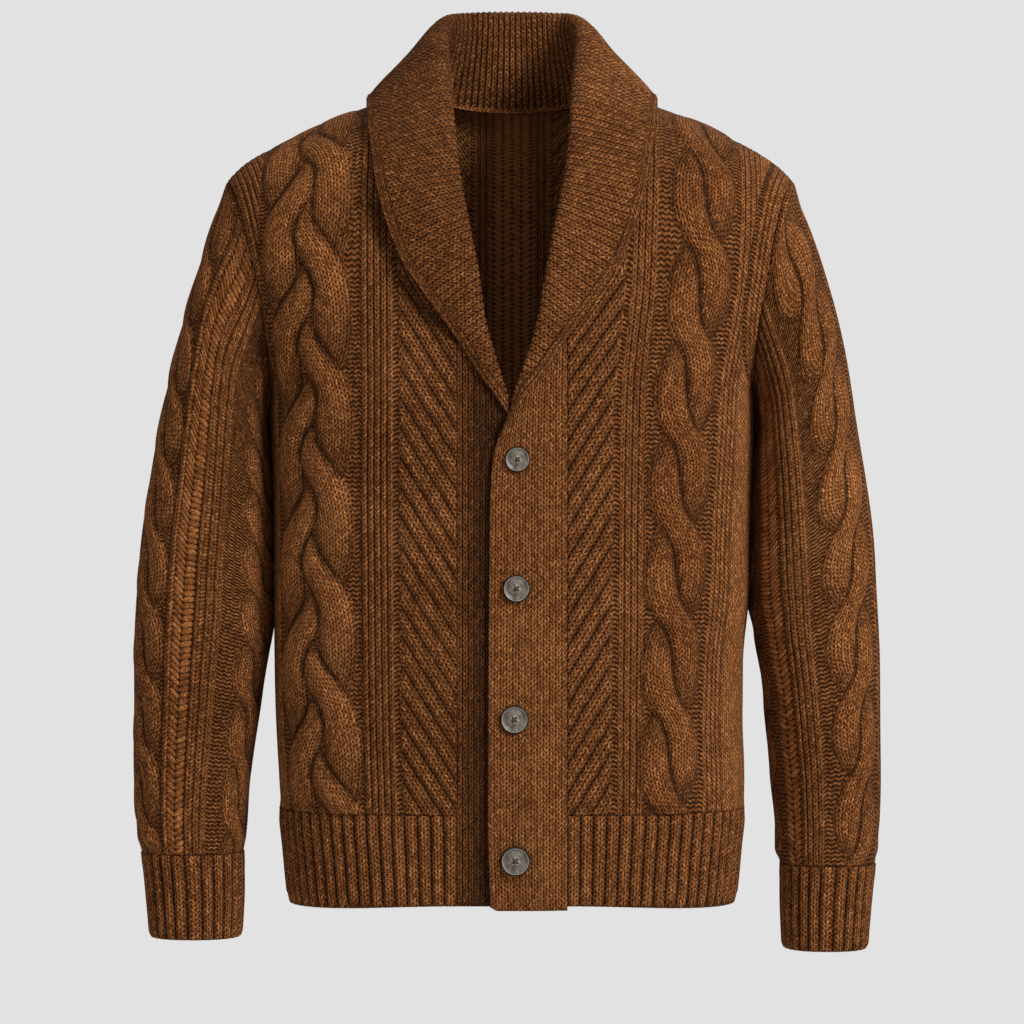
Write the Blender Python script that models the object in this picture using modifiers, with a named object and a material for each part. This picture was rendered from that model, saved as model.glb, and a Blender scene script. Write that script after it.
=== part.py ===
"""Shawl collar cardigan in chunky cable knit, hollow and filled out as worn.

The frame is +Z up with the front towards -Y. The origin is the middle of the neck base, at the
height where the garment hangs on the shoulders, so the wearer's left is at +X.
Every piece is a wall: outer points carry the cables and ribs, inner points are plain and sparse.
All sizes are in metres.
"""

import math

import bmesh
import bpy
import numpy as np
from mathutils import Matrix, Vector

COLLECTION = "shawl_collar_cardigan"

WALL = 0.0030  # thickness of the plain knit
SEAM_GAP = 0.0003  # between pieces that are sewn together
ARMHOLE_GAP = 0.0005
RAISED_CABLE = 0.0042
RAISED_RIB = 0.0016
RAISED_DIAGONAL = 0.0013
RAISED_WELT = 0.0020

HEM_Z = -0.6900
WELT_Z = -0.6130  # top of the hem rib
BAND_BOTTOM_Z = -0.6935
ROLL_Z = -0.1600  # above this height the body leans over the shoulder
ROLL_LENGTH = 0.1950  # cloth from there up to the shoulder seam
PIT_X, PIT_Z = 0.2095, -0.2550
TIP_X, TIP_Z = 0.2480, -0.0670
ARMHOLE_HALF_DEPTH = 0.0760
ARMHOLE_BOW = 2.2
ARMHOLE_BLEND = 0.1100  # of a sleeve's length follows the armhole's bow
SIDE_SQUARENESS = 2.7
NECK_X, NECK_Y, NECK_Z = 0.0900, 0.0780, 0.0010
NECK_POINT_Z = 0.0100  # where the shoulder seam meets the neck
BAND_SEAM_X = 0.0465

ROW_STEP = 0.0150
BACK_ROW_STEP = 0.0225
SHOULDER_ROW_STEP = 0.0195
SLEEVE_ROWS = 28
INNER_ROW_STEP = 0.0620
INNER_COLUMN_STEP = 0.0340
SECTION_POINTS = 120  # points along half a section, where lengths along it are measured
WIDEST_EDGE_SHARE = 0.62  # of the section's depth, at the armhole's edge
LAYOUT_Z = -0.3500  # height at which the columns are spaced out
BEYOND_SIDE = 0.2600  # a distance along the cloth that no front reaches
DIAGONAL_MARGIN = 0.0030  # plain cloth on each side of the diagonal ridges
WELT_MIDDLE_Z = -0.6500
HEM_SAG = 0.0050  # how much lower the hem hangs at the sides than in front

CALM_FROM_Z, CALM_TO_Z = -0.1400, -0.1000  # ribs fade out here, below the collar
COVERED_FROM_Z, COVERED_TO_Z = -0.2400, -0.1900  # the slanted lines fade out here

# height, half width at the side seam, depth of the front and of the back from the side seam
TORSO = (
    (-0.700, 0.1915, 0.1120, 0.1080),
    (-0.655, 0.1965, 0.1160, 0.1100),
    (-0.613, 0.2010, 0.1210, 0.1120),
    (-0.560, 0.2040, 0.1240, 0.1120),
    (-0.450, 0.2062, 0.1260, 0.1100),
    (-0.350, 0.2075, 0.1280, 0.1140),
    (-0.255, 0.2095, 0.1290, 0.1200),
    (-0.160, 0.2095, 0.1270, 0.1220),
)

# distance from the middle, height of the shoulder seam
SHOULDER = (
    (0.000, 0.0100),
    (0.090, 0.0100),
    (0.128, -0.0020),
    (0.160, -0.0145),
    (0.197, -0.0320),
    (0.230, -0.0500),
    (0.248, -0.0670),
    (0.260, -0.0820),
)

# height, distance from the middle of the edge that the collar is sewn to
NECK_LINE = (
    (-0.2900, -0.0100),
    (-0.2790, -0.0040),
    (-0.2654, 0.0040),
    (-0.2438, 0.0164),
    (-0.2068, 0.0358),
    (-0.1722, 0.0519),
    (-0.1293, 0.0716),
    (-0.0856, 0.0845),
    (-0.0469, 0.0905),
    (0.0100, 0.0900),
)

# height, start of the rib panel, middle of the cable, both along the cloth from the middle
RIGHT_FRONT_LAYOUT = (
    (-0.613, 0.0960, 0.1640),
    (-0.500, 0.0990, 0.1740),
    (-0.350, 0.1000, 0.1775),
    (-0.160, 0.1000, 0.1780),
    (0.040, 0.1000, 0.1780),
)
LEFT_FRONT_LAYOUT = (
    (-0.613, 0.0880, 0.1330),
    (-0.500, 0.0885, 0.1380),
    (-0.350, 0.0895, 0.1445),
    (-0.260, 0.0910, 0.1510),
    (-0.160, 0.1000, 0.1640),
    (0.040, 0.1080, 0.1760),
)
# height, middle of the cable
BACK_LAYOUT = (
    (-0.613, 0.1150),
    (0.040, 0.1200),
)
BACK_PLAIN_COLUMNS = [0.0550, 0.0800]  # between the middle ribs and the cable
BACK_SIDE_COLUMN = 0.1800

# along the sleeve, outer x and z, inner x and z, front y, back y
SLEEVE = (
    (0.000, 0.2480, -0.0670, 0.2095, -0.2550, -0.0760, 0.0760),
    (0.035, 0.2600, -0.0980, 0.2107, -0.2780, -0.0790, 0.0780),
    (0.100, 0.2770, -0.1560, 0.2106, -0.3050, -0.0820, 0.0780),
    (0.160, 0.2912, -0.2100, 0.2100, -0.3350, -0.0830, 0.0750),
    (0.215, 0.3027, -0.2620, 0.2094, -0.3680, -0.0830, 0.0710),
    (0.285, 0.3147, -0.3300, 0.2088, -0.4120, -0.0810, 0.0640),
    (0.355, 0.3228, -0.4000, 0.2088, -0.4520, -0.0780, 0.0560),
    (0.440, 0.3268, -0.4870, 0.2150, -0.5150, -0.0760, 0.0460),
    (0.510, 0.3270, -0.5570, 0.2228, -0.5700, -0.0740, 0.0380),
    (0.565, 0.3258, -0.6120, 0.2288, -0.6180, -0.0720, 0.0310),
    (0.605, 0.3215, -0.6510, 0.2322, -0.6510, -0.0700, 0.0270),
)
SLEEVE_LENGTH = SLEEVE[-1][0]
# mirror, cable's middle and half width in degrees round the sleeve, its period, which way its
# upper strand leans, and how much less than the right sleeve's its reach is, sideways and down
SLEEVE_CABLES = {
    "right": (-1, 50.0, 25.0, 0.1290, 1, (0.0, 0.0)),
    "left": (1, 61.0, 27.0, 0.1500, 1, (0.0060, 0.0100)),
}
SLEEVE_RIB_START = 12.0  # degrees beside the cable
SLEEVE_RIB_PITCH = 9.0
# the same columns as the sleeve's for the cuff, from its top to its opening
CUFF = (
    (0.000, 0.3215, -0.6514, 0.2335, -0.6514, -0.0690, 0.0250),
    (0.030, 0.3200, -0.6800, 0.2335, -0.6800, -0.0670, 0.0230),
    (0.073, 0.3165, -0.7240, 0.2350, -0.7240, -0.0660, 0.0210),
)

CUFF_GIRTH = 0.2750

# lapel stations from the V to the shoulder: roll line x and z, fall edge x and z, height of the
# neck seam, plan direction in degrees, fold radius, thickness share, how far the under lapel
# stays aside of the upper one
LAPEL = (
    (0.0045, -0.2530, 0.0150, -0.2570, -0.2540, 0, 0.0022, 0.80, 0.0046),
    (0.0115, -0.2330, 0.0250, -0.2425, -0.2375, 0, 0.0028, 1.00, 0.0032),
    (0.0225, -0.1970, 0.0446, -0.2133, -0.2068, 2, 0.0030, 1.00, 0.0015),
    (0.0293, -0.1560, 0.0669, -0.1830, -0.1722, 5, 0.0034, 1.00, 0.0000),
    (0.0378, -0.1120, 0.0942, -0.1408, -0.1293, 9, 0.0038, 1.00, 0.0000),
    (0.0450, -0.0750, 0.1108, -0.0926, -0.0856, 16, 0.0042, 1.00, 0.0000),
)
# neck stations from there to the middle of the back: roll line x, y, z; fall edge x and z;
# angle of the neck seam round the back, negative on the front; plan direction; fold radius
NECK = (
    (0.0500, -0.0900, -0.0330, 0.1200, -0.0532, -22, 35, 0.0046),
    (0.0530, -0.0480, 0.0150, 0.1255, -0.0230, -10, 62, 0.0052),
    (0.0570, -0.0020, 0.0560, 0.1270, -0.0018, 0, 90, 0.0056),
    (0.0535, 0.0400, 0.0790, 0.1150, -0.0230, 34, 122, 0.0060),
    (0.0330, 0.0660, 0.0860, 0.0760, -0.0290, 62, 150, 0.0060),
    (0.0000, 0.0760, 0.0880, 0.0000, -0.0290, 90, 180, 0.0060),
)
NECK_FRONT_SEAM_Z = (-0.0430, -0.0140)
FALL_START = 6  # column of the collar from which it lies over the body
FALL_CLEARANCE = 0.0036  # between a fall's inside and the plain cloth below it
LAPEL_CLEARANCE = 0.0011
SEAM_REACH = 0.0022  # how far beyond the neck line the collar starts
SEAM_REACH_ON_BAND = 0.0008
LAPEL_BELLY = 0.0010  # how far a fall bows out between its fold and its edge
NECK_BELLY = 0.0060
NECK_SEAM_SET_IN = 0.0016
NECK_SEAM_REACH = 0.0012
COLLAR_COLUMN_CELLS = (1, 1, 2, 2, 1, 1, 1)

# the free edge of the top band: height, distance from the middle
FREE_EDGE = (
    (-0.6935, -0.0185),
    (-0.6200, -0.0205),
    (-0.3700, -0.0192),
    (-0.3280, -0.0150),
    (-0.3000, -0.0085),
    (-0.2830, -0.0050),
)
BAND_CELLS = (20, 7)  # rows and columns
UNDER_BAND_END_X = 0.0120
UNDER_BAND_ASIDE = 0.0045  # how far the under band's top keeps aside of the lapels
UNDER_LAPEL_X = (0.0220, 0.0380)  # where that fades out
UNDER_BAND_LEVEL_X = 0.0100  # nearer the middle its top is level
UNDER_BAND_DROP = 0.0022  # how far its top lies below the neck line
TOP_BAND_LIFT = 0.0042
TOP_BAND_SEAM_LIFT = 0.0012
TOP_BAND_FLAT_X = 0.0220  # beyond this it slopes down to its seam

# x and z of each button's middle
BUTTONS = (
    (0.0046, -0.3129),
    (0.0038, -0.4213),
    (0.0021, -0.5313),
    (0.0029, -0.6506),
)
BUTTON_RADIUS = 0.01225
BUTTON_HOLE_RADIUS = 0.0011
BUTTON_HOLE_SPACING = 0.0025
# radius and height of the button's profile, from the middle of its face round to its back
BUTTON_PROFILE = (
    (0.0000, 0.0026),
    (0.0080, 0.0029),
    (0.0098, 0.0042),
    (0.0116, 0.0040),
    (BUTTON_RADIUS, 0.0026),
    (0.0108, 0.0006),
    (0.0080, 0.0000),
    (0.0000, 0.0000),
)

PLAIT_PERIOD = 0.2737
PLAIT_CROSSING_Z = -0.2374
PLAIT_SWING = 0.0240
PLAIT_STRAND = 0.0155
PLAIT_HALF = 0.0385
ROPE_PERIOD = 0.1572
ROPE_CROSSING_Z = -0.2120
ROPE_SWING = 0.0128
ROPE_STRAND = 0.0145
ROPE_HALF = 0.0270
DIAGONAL_PERIOD = 0.0250
DIAGONAL_SLOPE = 95.0 / 58.0
RIB_PITCH = 0.0085
RIBS = 4
PANEL_GAP = 0.0040  # between a group of ribs and what is beside it
WELT_PITCH = 0.0110

# name: colour, roughness, metallic
FINISHES = {
    "wool": ((0.150, 0.058, 0.022), 0.95, 0.0),
    "rib": ((0.120, 0.045, 0.017), 0.95, 0.0),
    "horn": ((0.170, 0.145, 0.120), 0.35, 0.0),
}


def monotone(rows, column, key):
    """Value of a table's column at a key, by monotone cubic steps between its rows."""
    table = np.array(rows, dtype=float)
    x = table[:, 0]
    y = table[:, column]
    step = np.diff(x)
    slope = np.diff(y) / step
    tangent = np.zeros(len(x))
    same = slope[:-1] * slope[1:] > 0
    mean = 2.0 * slope[:-1] * slope[1:] / np.where(same, slope[:-1] + slope[1:], 1.0)
    tangent[1:-1] = np.where(same, mean, 0.0)
    tangent[0] = slope[0]
    tangent[-1] = slope[-1]
    key = np.clip(np.asarray(key, dtype=float), x[0], x[-1])
    i = np.clip(np.searchsorted(x, key, side="right") - 1, 0, len(step) - 1)
    t = (key - x[i]) / step[i]
    start = (1 + 2 * t) * (1 - t) ** 2 * y[i] + t * (1 - t) ** 2 * step[i] * tangent[i]
    end = t * t * (3 - 2 * t) * y[i + 1] + t * t * (t - 1) * step[i] * tangent[i + 1]
    return start + end


def ease(value, low, high):
    """0 below low, 1 above high, smooth between."""
    t = np.clip((np.asarray(value, dtype=float) - low) / (high - low), 0.0, 1.0)
    return t * t * (3 - 2 * t)


def shoulder_z(x):
    return monotone(SHOULDER, 1, np.abs(x))


def armhole_x(z):
    """Distance of the armhole's edge from the middle at a height."""
    arm = np.clip((z - PIT_Z) / (TIP_Z - PIT_Z), 0.0, 1.2)
    return PIT_X + (TIP_X - PIT_X) * arm**ARMHOLE_BOW


def top_z(x, side):
    """Height of the body's top edge: the shoulder seam, and the lower back neck between."""
    height = shoulder_z(x)
    if side > 0:
        round_neck = np.clip(1 - (x / NECK_X) ** 2, 0.0, 1.0)
        height = height - (NECK_POINT_Z - NECK_Z) * round_neck
    return height


def torso(share, level, side):
    """Point of the body's cloth, without relief.

    share runs from 0 at the middle to 1 at the side seam or armhole. level is the height, and above
    ROLL_Z the length of cloth towards the shoulder seam. side is -1 for the front, 1 for the back.
    Each section is a superellipse that passes through the armhole's edge.
    """
    share, level = np.broadcast_arrays(np.asarray(share, float), np.asarray(level, float))
    lean = np.clip((level - ROLL_Z) / ROLL_LENGTH, 0.0, 1.0) * math.pi / 2
    low = np.minimum(level, ROLL_Z)
    rise = np.sin(lean)
    edge_z = low + rise * (TIP_Z - ROLL_Z)
    arm = np.clip((edge_z - PIT_Z) / (TIP_Z - PIT_Z), 0.0, 1.0)
    edge_x = np.where(level < PIT_Z, monotone(TORSO, 1, low), armhole_x(edge_z))
    edge_y = ARMHOLE_HALF_DEPTH * np.sqrt(np.clip(1 - (2 * arm - 1) ** 2, 0.0, 1.0))
    depth = monotone(TORSO, 2 if side < 0 else 3, low)
    shrink = np.maximum(np.cos(lean), 1e-4)
    edge_share = np.clip(edge_y / (depth * shrink), 0.0, WIDEST_EDGE_SHARE)
    reach = (1 - edge_share**SIDE_SQUARENESS) ** (1 / SIDE_SQUARENESS)
    x = share * edge_x
    z = low + rise * (top_z(x, side) - ROLL_Z)
    neck_y = np.zeros_like(x)
    if side > 0:
        neck_y = NECK_Y * np.sqrt(np.clip(1 - (x / NECK_X) ** 2, 0.0, 1.0))
    middle_y = neck_y + (depth - neck_y) * np.cos(lean)
    inside = np.clip(1 - (share * reach) ** SIDE_SQUARENESS, 0.0, 1.0)
    y = side * middle_y * inside ** (1 / SIDE_SQUARENESS)
    return np.stack([x, y, z], axis=-1)


def level_over(x, z, side):
    """The level whose height is z at a distance x from the middle."""
    rise = np.clip((z - ROLL_Z) / (top_z(x, side) - ROLL_Z), 0.0, 1.0)
    return np.where(z < ROLL_Z, z, ROLL_Z + ROLL_LENGTH * np.arcsin(rise) / (math.pi / 2))


def keep_inside_armhole(points):
    """Holds a panel's edge points on the body's side of the armhole."""
    above = points[:, 2] > PIT_Z
    limit = np.where(above, armhole_x(points[:, 2]), 1.0)
    points[:, 0] = np.sign(points[:, 0]) * np.minimum(np.abs(points[:, 0]), limit)


def torso_edge_x(level):
    return torso(1.0, level, -1)[..., 0]


def torso_at(x, z, side):
    """Point and outward normal of the body's cloth at a distance x and height z."""
    level = level_over(x, z, side)

    def place(px, pl):
        across = torso_edge_x(pl)
        point = torso(abs(px) / across, pl, side)
        point[..., 0] = np.copysign(point[..., 0], px)
        return point

    here = place(x, level)
    across = place(x + 0.001, level) - place(x - 0.001, level)
    lower = min(float(level), ROLL_Z + ROLL_LENGTH - 0.002)
    up = place(x, lower + 0.001) - place(x, lower - 0.001)
    normal = np.cross(across, up) * (1 if side < 0 else -1)
    return here, normal / np.linalg.norm(normal)


def strand_profile(offset, half):
    return np.sqrt(np.clip(1 - (offset / half) ** 2, 0.0, 1.0))


def plait(across, level):
    """Height of the three-strand cable at a distance from its middle; 0 beside it."""
    height = np.zeros(np.broadcast(across, level).shape)
    for k in range(3):
        phase = 2 * math.pi * ((level - PLAIT_CROSSING_Z) / PLAIT_PERIOD + k / 3) + math.pi / 6
        middle = PLAIT_SWING * np.sin(phase)
        over = 0.78 - 0.22 * np.sin(2 * phase)
        height = np.maximum(height, over * strand_profile(across - middle, PLAIT_STRAND))
    return height


def rope(across, level, period, crossing, swing, half, twist):
    """Height of a two-strand cable. twist 1 or -1 says which way the upper strand leans."""
    height = np.zeros(np.broadcast(across, level).shape)
    for k in range(2):
        phase = 2 * math.pi * (level - crossing) / period + k * math.pi
        middle = swing * np.sin(phase)
        over = 0.78 + 0.22 * twist * np.cos(phase)
        height = np.maximum(height, over * strand_profile(across - middle, half))
    return height


def ridges(position, pitch):
    return 0.5 - 0.5 * np.cos(2 * math.pi * position / pitch)


def front_relief(along, level, layout, plaited):
    """Relief of a front at a distance along the cloth from the middle."""
    rib_start = monotone(layout, 1, level)
    cable = along - monotone(layout, 2, level)
    rib = along - rib_start
    ribbed = (rib > 0) & (rib < RIBS * RIB_PITCH if plaited else rib < 3 * RIB_PITCH)
    slanted = (along > BAND_SEAM_X + DIAGONAL_MARGIN) & (rib < -DIAGONAL_MARGIN)
    slant = level - DIAGONAL_SLOPE * (along - BAND_SEAM_X)
    height = np.where(ribbed, RAISED_RIB * ridges(rib, RIB_PITCH), 0.0)
    uncovered = 1 - ease(level, COVERED_FROM_Z, COVERED_TO_Z)
    lines = RAISED_DIAGONAL * uncovered * ridges(slant, DIAGONAL_PERIOD)
    height = np.where(slanted, lines, height)
    height = height * (1 - ease(level, CALM_FROM_Z, CALM_TO_Z))
    if plaited:
        raised = plait(-cable, level)
    else:
        raised = rope(cable, level, ROPE_PERIOD, ROPE_CROSSING_Z, ROPE_SWING, ROPE_STRAND, -1)
    height = np.maximum(height, RAISED_CABLE * raised)
    if not plaited:
        side_rib = cable - ROPE_HALF - PANEL_GAP
        beside = (side_rib > 0) & (side_rib < 2 * RIB_PITCH)
        height = np.where(beside, RAISED_RIB * ridges(side_rib, RIB_PITCH), height)
    return height


def back_relief(along, level, signed):
    """Relief of the back: a middle rib panel and a rope cable on each side."""
    cable = along - monotone(BACK_LAYOUT, 1, level)
    height = np.where(along < 3 * RIB_PITCH, RAISED_RIB * ridges(along, RIB_PITCH), 0.0)
    height = height * (1 - ease(level, CALM_FROM_Z, CALM_TO_Z))
    twist = np.where(signed < 0, 1.0, -1.0)
    raised = rope(cable, level, ROPE_PERIOD, ROPE_CROSSING_Z, ROPE_SWING, ROPE_STRAND, twist)
    return np.maximum(height, RAISED_CABLE * raised)


def half_section(level, side):
    """Shares across one half of the body at a level, and the cloth length at each."""
    share = 1 - (1 - np.linspace(0, 1, SECTION_POINTS)) ** 2.5
    points = torso(share, np.full(SECTION_POINTS, level), side)
    length = np.concatenate([[0], np.cumsum(np.linalg.norm(np.diff(points, axis=0), axis=1))])
    return share, length


def grid_normals(grid, wraps):
    """Unit normals of a grid of points, turned to the side that its rows and columns give."""
    if wraps:
        across = np.roll(grid, -1, axis=1) - np.roll(grid, 1, axis=1)
    else:
        across = np.gradient(grid, axis=1)
    up = np.gradient(grid, axis=0)
    normal = np.cross(across, up)
    size = np.linalg.norm(normal, axis=2, keepdims=True)
    return normal / np.maximum(size, 1e-12)


def bridge(outer, inner, picks):
    """Triangles between a fine rim and a sparse one that meets it at the picked points."""
    faces = []
    for k in range(len(picks) - 1):
        first, last = picks[k], picks[k + 1]
        middle = (first + last) // 2
        near, far = inner[k], inner[(k + 1) % len(inner)]
        for j in range(first, middle):
            faces.append((outer[j], outer[(j + 1) % len(outer)], near))
        faces.append((outer[middle % len(outer)], far, near))
        for j in range(middle, last):
            faces.append((outer[j % len(outer)], outer[(j + 1) % len(outer)], far))
    return faces


def grid_faces(ids, relief, wraps):
    """Two triangles a cell, split along the diagonal whose ends are nearer in height."""
    faces = []
    rows, columns = ids.shape
    for i in range(rows - 1):
        for j in range(columns if wraps else columns - 1):
            k = (j + 1) % columns
            a, b, c, d = ids[i, j], ids[i, k], ids[i + 1, k], ids[i + 1, j]
            falling = abs(relief[i, k] - relief[i + 1, j])
            rising = abs(relief[i, j] - relief[i + 1, k])
            if falling < rising:
                faces += [(a, b, d), (b, c, d)]
            else:
                faces += [(a, b, c), (a, c, d)]
    return faces


def picks_along(points, spacing, wraps=False):
    """Sparse indices along a line of points, about a spacing apart, with both of its ends."""
    if wraps:
        points = np.concatenate([points, points[:1]])
    length = np.concatenate([[0], np.cumsum(np.linalg.norm(np.diff(points, axis=0), axis=1))])
    count = max(3 if wraps else 1, round(length[-1] / spacing))
    marks = np.linspace(0, length[-1], count + 1)
    return sorted({int(np.argmin(np.abs(length - mark))) for mark in marks})


def make_object(name, verts, faces, finish):
    mesh = bpy.data.meshes.new(name)
    mesh.from_pydata([tuple(map(float, v)) for v in verts], [], faces)
    shape = bmesh.new()
    shape.from_mesh(mesh)
    bmesh.ops.recalc_face_normals(shape, faces=shape.faces)
    if shape.calc_volume(signed=True) < 0:
        bmesh.ops.reverse_faces(shape, faces=shape.faces)
    shape.to_mesh(mesh)
    shape.free()
    mesh.materials.append(finish)
    mesh.shade_smooth()
    mesh.set_sharp_from_angle(angle=math.radians(50))
    piece = bpy.data.objects.new(name, mesh)
    bpy.data.collections[COLLECTION].objects.link(piece)
    return piece


def wall(name, outer, inner, rows, columns, relief, wraps, finish):
    """Closed wall between a fine outer grid and a sparse inner grid.

    rows and columns are the outer grid's indices at which the inner points stand.
    """
    outer_ids = np.arange(outer.shape[0] * outer.shape[1]).reshape(outer.shape[:2])
    inner_ids = outer_ids.size + np.arange(inner.shape[0] * inner.shape[1])
    inner_ids = inner_ids.reshape(inner.shape[:2])
    faces = grid_faces(outer_ids, relief, wraps)
    faces += grid_faces(inner_ids, np.zeros(inner.shape[:2]), wraps)
    for edge in (0, -1):
        faces += bridge(list(outer_ids[edge]), list(inner_ids[edge]), columns)
        if not wraps:
            faces += bridge(list(outer_ids[:, edge]), list(inner_ids[:, edge]), rows)
    verts = np.concatenate([outer.reshape(-1, 3), inner.reshape(-1, 3)])
    return make_object(name, verts, faces, finish)


def knit_wall(name, base, relief, finish, out, wraps=False, square=None, every=None, also=None):
    """Wall from a base grid: relief goes out along its normals and the inside stays plain.

    out is 1 or -1, the side of the grid that is the outside. square may set the seams' planes.
    every is how many outer columns stand to one inner column, where the distance doesn't say it,
    and also lists a panel's rows and columns that get inner points too. A panel's last row is the
    shoulder's, where the cloth lies level.
    """
    normal = out * grid_normals(base, wraps)
    rows = picks_along(base[:, base.shape[1] // 2], INNER_ROW_STEP)
    columns = picks_along(base[base.shape[0] // 2], INNER_COLUMN_STEP, wraps)
    if also:
        normal[-1] = (0.0, 0.0, 1.0)
        rows = sorted({*rows, *also[0]})
        columns = sorted({*columns, *also[1]})
    if every:
        last = base.shape[1] if wraps else base.shape[1] - 1
        columns = sorted({*range(0, last, every), last})
    chosen = columns[:-1] if wraps else columns
    outer = base + normal * relief[..., None]
    inner = (base - normal * WALL)[np.ix_(rows, chosen)]
    if square:
        square(outer)
        square(inner)
    return wall(name, outer, inner, rows, columns, relief, wraps, finish)


def front_columns(plaited):
    """Distances along the cloth of a front's columns, from its layout at the middle height."""
    layout = RIGHT_FRONT_LAYOUT if plaited else LEFT_FRONT_LAYOUT
    rib_start = float(monotone(layout, 1, LAYOUT_Z))
    cable = float(monotone(layout, 2, LAYOUT_Z))
    half = PLAIT_HALF if plaited else ROPE_HALF
    ribs = RIBS if plaited else 3
    marks = list(np.linspace(BAND_SEAM_X, rib_start - PANEL_GAP, 7 if plaited else 6))
    marks += [rib_start + RIB_PITCH / 2 * k for k in range(2 * ribs + 1)]
    marks += list(np.linspace(cable - half, cable + half, 11 if plaited else 9))
    if not plaited:
        start = cable + half + PANEL_GAP
        marks += [start + RIB_PITCH / 2 * k for k in range(5)]
    return np.array(marks), rib_start, cable


def front_base(plaited, levels):
    """Grid of a front's plain cloth, with the distance along the cloth at each point."""
    layout = RIGHT_FRONT_LAYOUT if plaited else LEFT_FRONT_LAYOUT
    marks, rib_mid, cable_mid = front_columns(plaited)
    grid = []
    lengths = []
    for level in levels:
        share, length = half_section(level, -1)
        rise = math.sin(np.clip((level - ROLL_Z) / ROLL_LENGTH, 0, 1) * math.pi / 2)
        neck_z = min(level, ROLL_Z) + rise * (NECK_POINT_Z - ROLL_Z)
        inner_x = BAND_SEAM_X
        if neck_z > NECK_LINE[0][0]:
            inner_x = max(BAND_SEAM_X, float(monotone(NECK_LINE, 1, neck_z)))
        edge_x = float(torso_edge_x(level))
        start = float(np.interp(inner_x / edge_x, share, length))
        rib_start = float(monotone(layout, 1, level))
        cable = float(monotone(layout, 2, level))
        shift = np.interp(
            marks,
            [BAND_SEAM_X, rib_mid, cable_mid, BEYOND_SIDE],
            [0.0, rib_start - rib_mid, cable - cable_mid, cable - cable_mid],
        )
        moved = marks + shift
        first = rib_start - PANEL_GAP
        squeezed = start + (moved - BAND_SEAM_X) * (first - start) / (first - BAND_SEAM_X)
        moved = np.where(moved < first, squeezed, moved)
        moved = np.maximum(moved, start)
        last = length[-1]
        side = [moved[-1] + (last - moved[-1]) * k / 3 for k in (1, 2, 3)]
        along = np.concatenate([moved, side])
        grid.append(torso(np.interp(along, length, share), np.full(len(along), level), -1))
        lengths.append(along)
    return np.array(grid), np.array(lengths)


def body_rows(step):
    """Levels of a panel's rows, wider apart over the shoulder."""
    low = np.linspace(WELT_Z, ROLL_Z, round((ROLL_Z - WELT_Z) / step) + 1)
    high = np.linspace(ROLL_Z, ROLL_Z + ROLL_LENGTH, round(ROLL_LENGTH / SHOULDER_ROW_STEP) + 1)
    return np.concatenate([low, high[1:]])


def build_front(name, plaited, mirror, finish):
    rows = body_rows(ROW_STEP)
    base, along = front_base(plaited, rows)
    layout = RIGHT_FRONT_LAYOUT if plaited else LEFT_FRONT_LAYOUT
    relief = front_relief(along, rows[:, None], layout, plaited)
    relief[:, (0, -1)] = 0.0
    relief[(0, -1), :] = 0.0
    base[..., 0] *= mirror

    def square(grid):
        grid[0, :, 2] = WELT_Z + SEAM_GAP / 2
        grid[:, -1, 1] = np.minimum(grid[:, -1, 1], -SEAM_GAP / 2)
        grid[-1, :, 1] = -SEAM_GAP / 2
        keep_inside_armhole(grid[:, -1])
        inner = np.abs(grid[:, 0, 0])
        straight = np.abs(inner - BAND_SEAM_X) < 0.0008
        grid[straight, 0, 0] = mirror * BAND_SEAM_X

    return knit_wall(name, base, relief, finish, mirror, square=square, also=((), ()))


def build_back(name, finish):
    rows = body_rows(BACK_ROW_STEP)
    marks = [RIB_PITCH / 2 * k for k in range(7)]
    cable = BACK_LAYOUT[-1][1]
    marks += BACK_PLAIN_COLUMNS
    marks += list(np.linspace(cable - ROPE_HALF, cable + ROPE_HALF, 7))
    marks += [BACK_SIDE_COLUMN]
    marks = np.array(marks)
    grid = []
    lengths = []
    for level in rows:
        share, length = half_section(level, 1)
        last = length[-1]
        room = np.minimum(marks, last - 0.030)
        along = np.concatenate([room, [(room[-1] + last) / 2, last]])
        points = torso(np.interp(along, length, share), np.full(len(along), level), 1)
        left = points[:0:-1].copy()
        left[:, 0] *= -1
        grid.append(np.concatenate([left, points]))
        lengths.append(np.concatenate([-along[:0:-1], along]))
    base = np.array(grid)
    along = np.array(lengths)
    relief = back_relief(np.abs(along), rows[:, None], along)
    relief[:, (0, -1)] = 0.0
    relief[(0, -2, -1), :] = 0.0

    def square(grid):
        grid[0, :, 2] = WELT_Z + SEAM_GAP / 2
        for edge in (0, -1):
            grid[:, edge, 1] = np.maximum(grid[:, edge, 1], SEAM_GAP / 2)
            keep_inside_armhole(grid[:, edge])
        on_shoulder = np.abs(grid[-1, :, 0]) > NECK_X
        grid[-1, on_shoulder, 1] = SEAM_GAP / 2

    pit = int(np.searchsorted(rows, PIT_Z))
    rim = np.abs(base[-1, :, 0])
    necks = [k for k in range(1, len(rim)) if (rim[k] > NECK_X) != (rim[k - 1] > NECK_X)]
    corners = [k if rim[k] > NECK_X else k - 1 for k in necks]
    also = ((pit - 1, pit, pit + 1), corners)
    return knit_wall(name, base, relief, finish, -1, square=square, also=also)


def welt_marks(start, end):
    """Columns of a broad rib: a groove, then the two shoulders of a flat ridge."""
    count = max(2, round((end - start) / WELT_PITCH))
    pitch = (end - start) / count
    marks = []
    raised = []
    for k in range(count):
        for share, height in ((0.0, 0.0), (0.28, 1.0), (0.72, 1.0)):
            marks.append(start + pitch * (k + share))
            raised.append(height)
    marks.append(end)
    raised.append(0.0)
    return np.array(marks), np.array(raised)


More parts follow.
